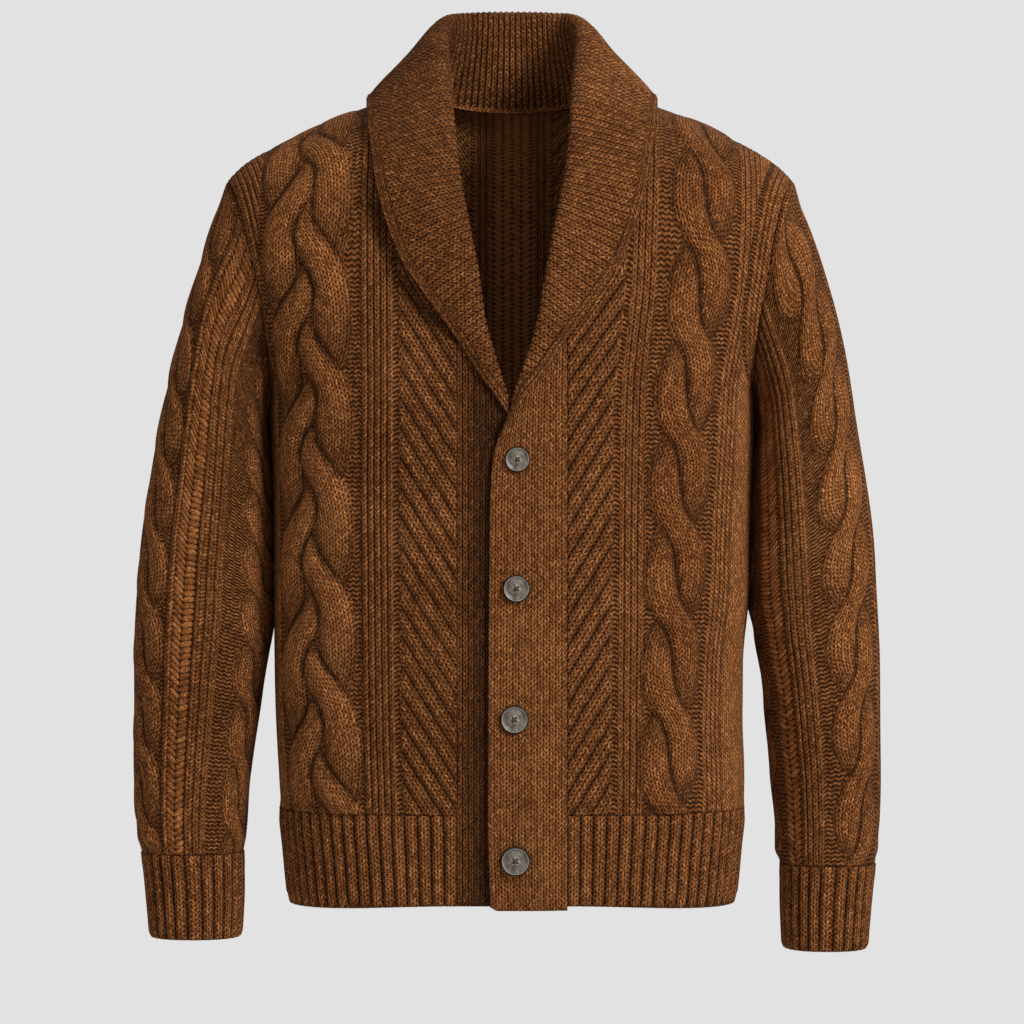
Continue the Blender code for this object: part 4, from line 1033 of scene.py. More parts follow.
@dataclass(frozen=True)
class Horn:
    """Satin imitation horn with cloudy streaks, fine scuffs, a painted highlight on its raised rim and a
    painted shadow round its edge.
    """

    name: str = "horn"
    dark: Colour = (0.050, 0.039, 0.030)
    pale: Colour = (0.270, 0.232, 0.190)

    def make(self) -> Material:
        """Build the material."""
        material, n = start_material(self.name)
        place = n.place()
        streak = n.noise(n.vector("MULTIPLY", place, (1.0, 1.0, 3.2)), 90.0, 4.0, 0.65)
        cloud = n.noise(place, 160.0, 3.0, 0.6)
        scuff = n.noise(place, 1400.0, 2.0, 0.6)
        edge = n.add("ShaderNodeNewGeometry").outputs["Pointiness"]
        share = n.span(n.math("ADD", streak, n.math("MULTIPLY", cloud, 0.4)), 0.5, 0.95)
        colour = n.mix(share, (*self.dark, 1.0), (*self.pale, 1.0))
        # painted highlight on the raised rim
        rim = n.math("MULTIPLY", n.span(edge, 0.50, 0.58), 0.70)
        colour = n.mix(rim, colour, (0.52, 0.47, 0.40, 1.0))
        flat = n.vector("MULTIPLY", place, (1.0, 1.0, 0.0))
        radius = n.add("ShaderNodeVectorMath", operation="LENGTH")
        n.feed(radius.inputs[0], flat)
        # painted shadow: a dark ring round the button's edge
        outer = n.span(radius.outputs["Value"], 0.0106, 0.0111)
        colour = n.mix(outer, colour, (0.016, 0.011, 0.008, 1.0))
        grain = n.math("ADD", scuff, n.math("MULTIPLY", cloud, 1.5))
        rough = n.span(scuff, 0.3, 0.7, 0.28, 0.46)
        normal = n.bump(grain, 0.3, 0.0002)
        n.principled({"Base Color": colour, "Roughness": rough, "Normal": normal})
        return material


@dataclass(frozen=True)
class Paint:
    """Matte studio floor with a faint mottle."""

    name: str = "floor_paint"
    colour: Colour = (0.76, 0.76, 0.76)

    def make(self) -> Material:
        """Build the material."""
        material, n = start_material(self.name)
        darker = tuple(0.95 * c for c in self.colour)
        colour = n.mix(n.noise(n.place(), 3.0, 3.0), (*self.colour, 1.0), (*darker, 1.0))
        n.principled({"Base Color": colour, "Roughness": 0.9})
        return material


def soft_waves(points: Array, size: float) -> Array:
    """Return slow, uneven swells of the cloth, the same on every run."""
    x, y, z = points[..., 0], points[..., 1], points[..., 2]
    swell = np.sin(31.0 * z + 17.0 * x + 1.3) + 0.8 * np.sin(23.0 * x - 19.0 * z + 4.1)
    swell = swell + 0.6 * np.sin(47.0 * z - 29.0 * x + 12.0 * y + 2.2)
    return size * swell / 2.4


@dataclass
class ClothPiece:
    """A sewn piece of cloth, and the part that it stands in for."""

    node: str

    def dress(
        self,
        piece: Object,
        material: Material,
        base: Array,
        wraps: bool,
        held: str,
        rests_on: Sequence[str],
    ) -> Object:
        """Give a wall its material and body, and hide the part that it stands in for.

        Args:
            piece: the wall.
            material: its knitted material.
            base: its plain cloth's points; not used.
            wraps: whether it is a tube; not used.
            held: how the cloth is held; not used.
            rests_on: what it hangs from; not used.

        Returns:
            The same object.
        """
        piece.data.materials.append(material)
        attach(piece, "root")
        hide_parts(self.node)
        return piece


def cloth_row(along: Array, level: float, side: int) -> Array:
    """Return a row's points at distances along the cloth, over both halves on the back."""
    share, length = FIGURE.half_section(float(level), side)
    row = FIGURE.torso(np.interp(along, length, share), np.full(along.shape, level), side)
    return mirrored(row, (-1, 1, 1)) if side > 0 else row


@dataclass
class Panel(ClothPiece):
    """A front, or the whole back, of the body."""

    pattern: PanelPattern
    side: int = -1
    mirror: int = 1
    row_step: float = 0.0023
    column_step: float = 0.0022
    side_columns: int = 24
    edge_ribs: int = 3
    edge_ribs_raised: float = 0.0022
    hem_ribs_raised: float = 0.0012
    swells: float = 0.0009
    shoulder_drop: float = 0.0024
    drawn_in: float = 0.0050
    lapel_edge: Table = ()

    def marks(self) -> Array:
        """Return the columns' distances along the cloth at the middle height, up to the side."""
        rib, cable = (float(v) for v in self.pattern.places(MIDDLE_LEVEL))
        ribs, _, side = self.pattern.panels()
        edge = cable + self.pattern.cable.reach
        start = 0.0 if self.side > 0 else FIGURE.band_seam_x
        rib_end = rib + ribs.count * STITCH_WIDTH
        side_start = cable + side.start
        stops = (
            (start, rib, self.column_step),
            (rib, rib_end, STITCH_WIDTH / 4),
            (rib_end, edge, self.column_step),
            (edge, side_start, self.column_step),
            (side_start, side_start + side.count * STITCH_WIDTH, STITCH_WIDTH / 4),
        )
        marks = [start]
        for low, high, step in stops:
            if high - low > 0.0005:
                marks += list(np.linspace(low, high, max(2, round((high - low) / step) + 1))[1:])
        return np.array(marks)

    def levels(self) -> Array:
        """Return the rows' levels, from the hem rib to the shoulder seam."""
        top = FIGURE.roll_z + FIGURE.roll_length
        count = round((top - FIGURE.welt_z) / self.row_step)
        return np.linspace(FIGURE.welt_z, top, count + 1)

    def row(self, level: float, marks: Array) -> tuple[Array, float]:
        """Lay out one row of points.

        Args:
            level: the row's level.
            marks: the columns' distances at the middle height.

        Returns:
            The distances along the cloth, and that of the side edge.
        """
        rib_middle, cable_middle = (float(v) for v in self.pattern.places(MIDDLE_LEVEL))
        rib, cable = (float(v) for v in self.pattern.places(level))
        share, length = FIGURE.half_section(level, self.side)
        last = float(length[-1])
        start = 0.0
        if self.side < 0:
            lean = np.clip((level - FIGURE.roll_z) / FIGURE.roll_length, 0, 1) * math.pi / 2
            neck_z = min(level, FIGURE.roll_z)
            neck_z += math.sin(lean) * (FIGURE.neck_point_z - FIGURE.roll_z)
            inner_x = FIGURE.band_seam_x
            if neck_z > -0.30:
                inner_x = max(inner_x, float(monotone(FIGURE.neck_line, 1, neck_z)))
            start = float(np.interp(inner_x / float(FIGURE.edge_x(level)), share, length))
        begin = marks[0]
        stands = [begin, rib_middle, cable_middle]
        moved = marks + np.interp(marks, stands, [0.0, rib - rib_middle, cable - cable_middle])
        if start > begin:
            moved = np.where(moved < rib, start + (moved - begin) * (rib - start) / (rib - begin), moved)
            moved = np.maximum(moved, start)
        crowded = last - 0.004 - np.arange(len(moved))[::-1] * 0.0002
        moved = np.minimum(moved, crowded)
        side = np.linspace(moved[-1], last, self.side_columns + 1)[1:]
        return np.concatenate([moved, side]), last

    def grids(self) -> tuple[Array, Array, Array, Array]:
        """Return the plain points, distances along the cloth, levels and side edges."""
        marks = self.marks()
        levels = self.levels()
        rows = [self.row(float(level), marks) for level in levels]
        points = [cloth_row(row, level, self.side) for (row, _), level in zip(rows, levels)]
        along = np.array([mirrored(row) if self.side > 0 else row for row, _ in rows])
        base = np.array(points)
        base[..., 0] *= self.mirror
        grown = np.broadcast_to(levels[:, None], along.shape)
        return base, along, grown, np.array([last for _, last in rows])[:, None]

    def armhole_turn(self, along: Array, last: Array) -> Array:
        """Return the count of rib columns in from the armhole's edge."""
        return (last - np.abs(along) - 0.003) / STITCH_WIDTH

    def outside_cable(self, distance: Array, level: Array) -> Array:
        """Say where the cloth lies between the cable and the armhole."""
        _, cable = self.pattern.places(level)
        return (distance > cable + self.pattern.cable.reach + 0.002) & (level > FIGURE.pit[1] + 0.01)

    def from_lapel(self, base: Array) -> Array:
        """Return the distance from the line that the lapel's edge hangs over, along which its shadow is
        painted.
        """
        place = np.stack([np.abs(base[..., 0]), base[..., 2]], axis=-1)
        line = np.array(self.lapel_edge)
        out = np.full(base.shape[:2], 1.0)
        for near, far in zip(line, line[1:]):
            reach = far - near
            share = np.clip(((place - near) @ reach) / reach.dot(reach), 0.0, 1.0)
            out = np.minimum(out, np.linalg.norm(place - near - share[..., None] * reach, axis=-1))
        return out

    def knit(self, base: Array, along: Array, level: Array, last: Array) -> tuple:
        """Work out the relief of every point and the stitches of every cell.

        Args:
            base: plain points.
            along: distances along the cloth.
            level: levels.
            last: distance of the side edge in each row.

        Returns:
            The relief and the stitch coordinates.
        """
        distance = np.abs(along)
        relief = self.pattern.relief(distance, level)
        turn = self.armhole_turn(along, last)
        outside = self.outside_cable(distance, level)
        beside = (turn > 0) & (turn < self.edge_ribs) & outside
        gutter = (turn > self.edge_ribs) & (turn < self.edge_ribs + 0.9) & outside
        ridge = wave(turn, 0.6)
        height = np.where(beside, self.edge_ribs_raised * ridge, relief.height)
        height = np.where(gutter, 0.0, height)
        relief.purl = np.where(beside, 0.0, np.where(gutter, 1.0, relief.purl))
        # painted shade in the armhole ribs' grooves and in the gutter beside them
        relief.painted_shade = np.where(beside, 0.9 * (1 - ridge), np.where(gutter, 0.7, relief.painted_shade))
        edge = 0.40 + 0.60 * ease(last - distance, 0.0, 0.0035)
        foot = 0.35 + 0.65 * ease(level, FIGURE.welt_z, FIGURE.welt_z + 0.010)
        crest = FIGURE.roll_z + FIGURE.roll_length
        top = 1 - 0.72 * ease(level, crest - 0.12, crest - 0.03)
        top = top * (1 - 0.6 * ease(level, crest - 0.008, crest))
        arm = 1 - 0.85 * ease(distance, last - 0.030, last - 0.012) * (level < FIGURE.pit[1] + 0.045)
        relief.height = height * edge * foot * top * arm
        near_hem = 1 - ease(level, FIGURE.welt_z, FIGURE.welt_z + 0.012)
        relief.height += self.hem_ribs_raised * wave(distance / HEM_PITCH + 0.5) * near_hem
        relief.height += soft_waves(base, self.swells) * edge * foot * top
        relief.height = np.maximum(relief.height, 0.0)
        # painted shade along the armhole's edge
        relief.painted_shade = np.maximum(relief.painted_shade, 0.75 * (1 - edge))
        # painted shadow that the under lapel casts on the front beside its edge
        if self.lapel_edge:
            lapel_shadow = np.exp(-((self.from_lapel(base) / 0.0085) ** 2))
            relief.painted_shade = 1 - (1 - relief.painted_shade) * (1 - 0.62 * lapel_shadow)
        corners = cell_corners(along, False)
        grown = cell_corners(level, False)
        middle = np.abs(corners.mean(-1))
        zone = self.pattern.zones(middle, grown.mean(-1))[..., None]
        u, v = self.pattern.stitches(np.broadcast_to(zone, corners.shape), np.abs(corners), grown)
        edges = cell_corners(np.broadcast_to(last, along.shape), False)
        turns = self.armhole_turn(corners, edges)
        mid = turns.mean(-1, keepdims=True)
        outside = self.outside_cable(middle, grown.mean(-1))[..., None]
        border = (mid > 0) & (mid < self.edge_ribs) & outside
        u, v = put(border, (turns, grown / STITCH_ROW), (u, v))
        if self.side > 0:
            rib, _ = self.pattern.places(level)
            central = distance < rib
            relief.purl = np.where(central, 0.0, relief.purl)
            relief.painted_shade = np.where(central, 0.15, relief.painted_shade)
            u = np.where(middle[..., None] < 0.0172, corners / (3 * STITCH_WIDTH), u)
        return relief, np.stack([u, v], axis=-1)

    def build(self, material: Material) -> Object:
        """Build and dress the panel."""
        base, along, level, last = self.grids()
        crest = FIGURE.roll_z + FIGURE.roll_length
        settled = ease(level, crest - 0.050, crest - 0.010) * ease(np.abs(base[..., 0]), 0.060, 0.085)
        base[..., 2] -= self.shoulder_drop * settled
        at_waist = rise_and_fall(-base[..., 2], 0.42, 0.49, 0.53, 0.61)
        base[..., 0] -= self.drawn_in * at_waist * ease(base[..., 0], 0.130, 0.185)
        relief, stitches = self.knit(base, along, level, last)

        def square(grid: Array) -> None:
            """Hold the panel's edges on their seams."""
            grid[0, :, 2] = FIGURE.welt_z + SEAM_GAP / 2
            for edge in (0, -1) if self.side > 0 else (-1,):
                column = grid[:, edge]
                column[:, 1] = self.side * np.maximum(self.side * column[:, 1], SEAM_GAP / 2)
                above = column[:, 2] > FIGURE.pit[1]
                limit = np.where(above, FIGURE.armhole_x(column[:, 2]), 1.0)
                column[:, 0] = np.sign(column[:, 0]) * np.minimum(np.abs(column[:, 0]), limit)
                if len(grid) < len(base):
                    turned_in = ease(column[:, 2], -0.130, -0.090)
                    column[:, 1] *= 1 - 0.05 * turned_in
                    column[:, 2] -= 0.0022 * turned_in
            on_shoulder = np.abs(grid[-1, :, 0]) > FIGURE.neck[0]
            grid[-1, on_shoulder, 1] = self.side * SEAM_GAP / 2

        out = -1 if self.side > 0 else self.mirror
        wall = Wall(self.node, base, relief, stitches, out, shows_inside=self.side > 0, square=square)
        wall.level_top = True
        return self.dress(wall.build(), material, base, False, "hung", ["collar", "band_left"])


@dataclass(frozen=True)
class BroadRib:
    """Two-stitch ribs with a narrow purl groove, as on the hem and cuffs."""

    pitch: float = HEM_PITCH
    raised: float = 0.0030
    samples: int = 9

    def ridge(self, turn: Array) -> Array:
        """Return the rib's height at a count of ribs: 0 in the groove, 1 on its two stitches."""
        wave = np.clip(1 - (np.abs(2 * (turn % 1.0) - 1) / 0.86) ** 2.4, 0.0, 1.0) ** 0.5
        middle = np.exp(-(((turn % 1.0) - 0.5) / 0.05) ** 2)
        return wave * (1 - 0.08 * middle)

    def relief(self, turn: Array, swell: Array) -> Relief:
        """Return the relief at a count of ribs."""
        ridge = self.ridge(turn)
        purl = (ridge < 0.35).astype(float)
        groove = np.minimum(1.0, 1.15 * (1 - ridge))
        return Relief(self.raised * ridge * swell, purl, groove, np.full(turn.shape, 0.02))


@dataclass
class Welt(ClothPiece):
    """Hem rib under one panel."""

    side: int = -1
    mirror: int = 1
    rib: BroadRib = BroadRib()
    rows: int = 32
    swells: float = 0.0010
    sag: float = 0.0050

    def build(self, material: Material) -> Object:
        """Build and dress the hem rib."""
        levels = np.linspace(FIGURE.hem_z, FIGURE.welt_z - SEAM_GAP, self.rows)
        begin = 0.0 if self.side > 0 else FIGURE.band_seam_x
        _, middle = FIGURE.half_section(-0.65, self.side)
        count = max(2, round((middle[-1] - begin) / self.rib.pitch))
        share_of = np.linspace(0, 1, count * self.rib.samples + 1)
        points = []
        for level in levels:
            _, length = FIGURE.half_section(float(level), self.side)
            points.append(cloth_row(begin + (length[-1] - begin) * share_of, level, self.side))
        turn = mirrored(share_of * count) if self.side > 0 else share_of * count
        base = np.array(points)
        base[..., 0] *= self.mirror
        turns = np.broadcast_to(turn[None, :], base.shape[:2])
        grown = np.broadcast_to(levels[:, None], base.shape[:2])
        rise = ease(grown, FIGURE.hem_z, FIGURE.hem_z + 0.004)
        swell = (0.45 + 0.55 * rise) * (1 - 0.45 * ease(grown, FIGURE.welt_z - 0.014, FIGURE.welt_z))
        relief = self.rib.relief(turns, swell)
        relief.height += np.maximum(soft_waves(base, self.swells), 0.0) * rise
        u = 2 * cell_corners(turns, False) + 0.5
        v = cell_corners(grown, False) / STITCH_ROW

        def square(grid: Array) -> None:
            """Hold the hem rib's edges on their seams, its hem a little lower at the sides."""
            sag = ease(np.abs(grid[0, :, 0]), FIGURE.band_seam_x, FIGURE.sections[0][1])
            grid[0, :, 2] = FIGURE.hem_z - self.sag * sag
            grid[-1, :, 2] = FIGURE.welt_z - SEAM_GAP / 2
            for edge in (0, -1) if self.side > 0 else (-1,):
                grid[:, edge, 1] = self.side * SEAM_GAP / 2
            if self.side < 0:
                grid[:, 0, 0] = self.mirror * FIGURE.band_seam_x

        out = -1 if self.side > 0 else self.mirror
        wall = Wall(self.node, base, relief, np.stack([u, v], axis=-1), out, square=square)
        return self.dress(wall.build(), material, base, False, "hung", ["back"])


SLEEVE_SECTIONS: Table = (
    # along the sleeve, outer x and z, inner x and z, front y, back y
    (0.000, 0.2480, -0.0670, 0.2095, -0.2550, -0.0760, 0.0760),
    (0.035, 0.2600, -0.0980, 0.2107, -0.2780, -0.0790, 0.0780),
    (0.100, 0.2770, -0.1560, 0.2106, -0.3050, -0.0820, 0.0780),
    (0.160, 0.2912, -0.2100, 0.2100, -0.3350, -0.0830, 0.0750),
    (0.215, 0.3027, -0.2620, 0.2094, -0.3680, -0.0830, 0.0710),
    (0.285, 0.3147, -0.3300, 0.2088, -0.4120, -0.0810, 0.0640),
    (0.355, 0.3228, -0.4000, 0.2088, -0.4520, -0.0780, 0.0560),
    (0.440, 0.3268, -0.4870, 0.2150, -0.5150, -0.0760, 0.0460),
    (0.510, 0.3270, -0.5570, 0.2228, -0.5700, -0.0740, 0.0380),
    (0.565, 0.3258, -0.6120, 0.2288, -0.6180, -0.0720, 0.0310),
    (0.605, 0.3215, -0.6510, 0.2322, -0.6510, -0.0700, 0.0270),
)
CUFF_SECTIONS: Table = (
    # the same columns, from the cuff's top to its opening
    (0.000, 0.3202, -0.6514, 0.2335, -0.6514, -0.0690, 0.0250),
    (0.030, 0.3172, -0.6800, 0.2335, -0.6800, -0.0670, 0.0230),
    (0.073, 0.3132, -0.7240, 0.2350, -0.7240, -0.0660, 0.0210),
)


LEFT_SHORTER = (0.006, 0.010)  # how much less the left sleeve reaches out and down


@dataclass(frozen=True)
class Tube:
    """A sleeve's or cuff's plain form: tilted rings through a table of sections."""

    sections: Table
    mirror: int
    less_reach: tuple[float, float] = (0.0, 0.0)
    at_armhole: bool = True

    @property
    def length(self) -> float:
        """Return the length along the tube."""
        return self.sections[-1][0]

    def ring(self, along: float, angles: Array) -> Array:
        """Return the points of one ring.

        Args:
            along: distance from the tube's top.
            angles: angles round it, 0 outermost and a quarter turn at the front.

        Returns:
            One point for each angle.
        """
        outer_x, outer_z, inner_x, inner_z, front_y, back_y = (
            float(monotone(self.sections, column, along)) for column in range(1, 7)
        )
        blend = 0.0
        share_x, share_z = 1.0, 1.0
        if self.at_armhole:
            blend = 1 - float(ease(along, 0.0, 0.11))
            share_x = float(ease(along / self.length, 0.1, 0.7))
            share_z = (along / self.length) ** 2
        outer_x -= self.less_reach[0] * share_x
        outer_z -= self.less_reach[1] * share_z
        inner_z -= self.less_reach[1] * share_z
        if self.at_armhole:
            inner_x += 0.6 * self.less_reach[0] * float(between(along, 0.42, 0.55, 0.05))
        power = 2.0 / (2.0 + 0.3 * (1 - blend))
        cosine, sine = (np.sign(f(angles)) * np.abs(f(angles)) ** power for f in (np.cos, np.sin))
        x = (outer_x + inner_x) / 2 + cosine * (outer_x - inner_x) / 2
        z = (outer_z + inner_z) / 2 + cosine * (outer_z - inner_z) / 2
        arm = (1 + cosine) / 2
        width = FIGURE.tip[0] - FIGURE.pit[0]
        x = x + blend * width * (arm**FIGURE.armhole_bow - arm)
        y = (front_y + back_y) / 2 - sine * (back_y - front_y) / 2
        return np.stack([self.mirror * x, y, z], axis=-1)

    def rings(self, angles: Array, rows: int) -> tuple[Array, Array]:
        """Return the points of evenly spaced rings, and their distance along the tube."""
        alongs = np.linspace(0.0, self.length, rows)
        base = np.array([self.ring(float(along), angles) for along in alongs])
        return base, np.broadcast_to(alongs[:, None], base.shape[:2])


@dataclass(frozen=True)
class SleevePattern:
    """Pattern of a sleeve, in degrees round it: rope cables, rib groups and purl ladders."""

    cables: tuple[float, ...]
    rib_groups: tuple[tuple[float, float], ...]
    rope: Cable
    fishbone: tuple[tuple[float, float], ...]
    lag: float = 0.0
    metres_a_degree: float = 0.00092

    def across(self, degrees: Array, centre: float) -> Array:
        """Return the distance from a cable's middle, the short way round."""
        return ((degrees - centre + 180.0) % 360.0 - 180.0) * self.metres_a_degree

    def in_group(self, degrees: Array, group: tuple[float, float]) -> Array:
        """Say where a group of ribs is."""
        return ((degrees - group[0]) % 360.0) < (group[1] - group[0])

    def on_fishbone(self, degrees: Array) -> Array:
        """Say where the columns of broad arrow stitches are."""
        return np.any([self.in_group(degrees, group) for group in self.fishbone], axis=0)

    def rib_count(self, group: tuple[float, float]) -> int:
        """Return how many ribs a group holds."""
        return max(1, round((group[1] - group[0]) * self.metres_a_degree / STITCH_WIDTH))

    def rib_turn(self, degrees: Array, group: tuple[float, float]) -> Array:
        """Return the count of ribs from a group's start."""
        return ((degrees - group[0]) % 360.0) / (group[1] - group[0]) * self.rib_count(group)

    def relief(self, degrees: Array, along: Array) -> Relief:
        """Return the pattern's height and masks."""
        height = np.zeros(degrees.shape)
        purl = np.where(self.on_fishbone(degrees), 0.0, 1.0)
        painted_shade = np.where(purl < 0.5, 0.10, 0.45)
        for centre in self.cables:
            raised, groove = self.rope.relief(self.across(degrees, centre), along)
            here = raised > height
            height = np.where(here, raised, height)
            purl = np.where(raised > KNIT_AT, 0.0, purl)
            painted_shade = np.where(here, groove, painted_shade)
        for group in self.rib_groups:
            here = self.in_group(degrees, group)
            ridge = wave(self.rib_turn(degrees, group), 0.6)
            height = np.where(here, 0.0024 * ridge, height)
            purl = np.where(here, 0.0, purl)
            painted_shade = np.where(here, 0.9 * (1 - ridge), painted_shade)
        return Relief(height, purl, painted_shade, np.zeros(degrees.shape))

    def stitches(self, middle: Array, degrees: Array, along: Array) -> tuple:
        """Return stitch coordinates of cells.

        Args:
            middle: degrees and distance along of each cell's middle, along the last axis.
            degrees: degrees of the cells' corners.
            along: distances along of the cells' corners.

        Returns:
            Both coordinates, at every corner.
        """
        u = degrees * self.metres_a_degree / STITCH_WIDTH
        v = -along / STITCH_ROW
        centre_of, level = middle[..., :1], middle[..., 1:]
        aside = degrees - centre_of
        for group in self.fishbone:
            start = (centre_of - group[0]) % 360.0
            pair = ((start + aside) / (group[1] - group[0]), -along / (1.5 * STITCH_ROW))
            u, v = put(self.in_group(centre_of, group), pair, (u, v))
        for centre in self.cables:
            heights = self.rope.heights(self.across(centre_of, centre), level)
            for k in range(self.rope.strands):
                here = (heights.max(0) > STRAND_AT) & (heights.argmax(0) == k)
                strand_u, strand_v = self.rope.stitches(k, self.across(degrees, centre), along)
                u, v = put(here, (strand_u, -strand_v), (u, v))
        for group in self.rib_groups:
            pace = self.rib_count(group) / (group[1] - group[0])
            pair = (self.rib_turn(centre_of, group) + aside * pace, -along / STITCH_ROW)
            u, v = put(self.in_group(centre_of, group), pair, (u, v))
        return u, v


@dataclass
class Sleeve(ClothPiece):
    """A sleeve with its cables and ribs, from the armhole to the cuff."""

    tube: Tube
    pattern: SleevePattern
    set_in: float = 0.0024
    slim: float = 0.0022
    full: float = 0.0028
    proud: float = 0.0020
    waist: float = 0.0
    drawn_end: float = 0.0010
    tip_drop: float = 0.0010
    swells: float = 0.0012
    folds: float = 0.0010
    head: float = 0.0019
    rows: int = 262
    columns: int = 190

    def build(self, material: Material) -> Object:
        """Build and dress the sleeve."""
        mirror, end = self.tube.mirror, self.tube.length
        degrees = np.linspace(0.0, 360.0, self.columns, endpoint=False)
        base, grown = self.tube.rings(np.radians(degrees), self.rows)
        turned = np.broadcast_to(degrees[None, :], base.shape[:2])
        outward = 0.5 + 0.5 * np.cos(np.radians(turned))
        drawn = self.slim * rise_and_fall(grown, 0.36, 0.44, 0.53, 0.58)
        drawn = drawn - self.full * rise_and_fall(grown, 0.06, 0.14, 0.33, 0.40)
        drawn = drawn + self.waist * rise_and_fall(grown, 0.325, 0.365, 0.43, 0.50)
        proud = self.proud * rise_and_fall(grown, 0.14, 0.24, 0.50, 0.58)
        under = self.set_in * rise_and_fall(grown, 0.0, 0.03, end - 0.03, end) * outward
        under = under + drawn * (1 - outward) - proud * outward**2
        under = under + self.drawn_end * ease(grown, end - 0.016, end)
        base = base - mirror * grid_normals(base, True) * under[..., None]
        base[..., 2] -= self.tip_drop * (1 - ease(grown, 0.0, 0.035)) * outward**10
        patterned = turned + self.pattern.lag * outward**1.5 * (1 - ease(grown, 0.06, 0.26))
        relief = self.pattern.relief(patterned, grown)
        high = ease(base[..., 2], -0.53, -0.44)
        inner_side = between(turned, 128.0, 232.0, 16.0) * (0.55 + 0.45 * high)
        calm = 1 - 0.80 * inner_side
        calm *= (0.45 + 0.55 * ease(grown, 0.0, 0.010 + 0.040 * outward**2))
        calm *= (1 - 0.85 * ease(grown, end - 0.014, end))
        calm *= (1 - 0.5 * outward**12 * (1 - ease(grown, 0.26, 0.36)))
        relief.height *= calm
        slack = ease(grown, 0.015, 0.05) * (1 - inner_side)
        relief.height = np.maximum(relief.height + soft_waves(base, self.swells) * slack, 0.0)
        elbow = np.exp(-(((grown - 0.33) / 0.10) ** 2)) * between(turned, 60.0, 150.0, 25.0)
        folds = np.sin(grown / 0.0125 + 0.022 * turned)
        relief.height += self.folds * np.maximum(folds, 0.0) * elbow * (1 - inner_side)
        head = (1 - ease(grown, 0.0, 0.030)) * (1 - outward**10)
        relief.height += self.head * head * (0.6 + 0.4 * ease(grown, 0.0, 0.004))
        # painted shade in the armhole seam's crease
        relief.painted_shade = np.maximum(relief.painted_shade, 0.5 * (1 - ease(grown, 0.0, 0.003)))
        corners = cell_corners(patterned, True, 360.0)
        lengths = cell_corners(grown, True)
        middle = np.stack([corners.mean(-1), lengths.mean(-1)], axis=-1)
        stitches = np.stack(self.pattern.stitches(middle, corners, lengths), axis=-1)
        floor = float(base[-1, 0, 2])

        def square(grid: Array) -> None:
            """Hold the sleeve's ends on their seams."""
            grid[-1, :, 2] = floor + SEAM_GAP / 2
            grid[0, :, 0] = mirror * (FIGURE.armhole_x(grid[0, :, 2]) - 0.0006)

        wall = Wall(self.node, base, relief, stitches, mirror, wraps=True, square=square)
        body = "front_right" if mirror < 0 else "front_left"
        return self.dress(wall.build(), material, base, True, "hung", [body])


@dataclass
class Cuff(ClothPiece):
    """Broad rib tube under a sleeve."""

    tube: Tube
    top: float
    girth: float = 0.275
    rib: BroadRib = BroadRib()
    rows: int = 31
    swells: float = 0.0010

    def build(self, material: Material) -> Object:
        """Build and dress the cuff."""
        mirror = self.tube.mirror
        count = round(self.girth / self.rib.pitch)
        angles = 2 * math.pi * np.arange(count * self.rib.samples) / (count * self.rib.samples)
        base, grown = self.tube.rings(angles, self.rows)
        turns = np.broadcast_to(angles[None, :] / (2 * math.pi) * count, base.shape[:2])
        drawn = 0.0008 + 0.0008 * ease(grown, 0.0, 0.016)
        base = base - mirror * grid_normals(base, True) * drawn[..., None]
        end = 1 - ease(grown, self.tube.length - 0.004, self.tube.length)
        swell = (0.45 + 0.55 * end) * (0.72 + 0.28 * ease(grown, 0.0, 0.012))
        relief = self.rib.relief(turns, swell)
        relief.height += np.maximum(soft_waves(base, self.swells), 0.0) * end
        u = 2 * cell_corners(turns, True, float(count)) + 0.5
        v = -cell_corners(grown, True) / STITCH_ROW

        def square(grid: Array) -> None:
            """Hold the cuff's top under the sleeve's end."""
            grid[0, :, 2] = self.top

        stitches = np.stack([u, v], axis=-1)
        wall = Wall(self.node, base, relief, stitches, mirror, wraps=True, square=square)
        sleeve = "sleeve_right" if mirror < 0 else "sleeve_left"
        return self.dress(wall.build(), material, base, True, "hung", [sleeve])


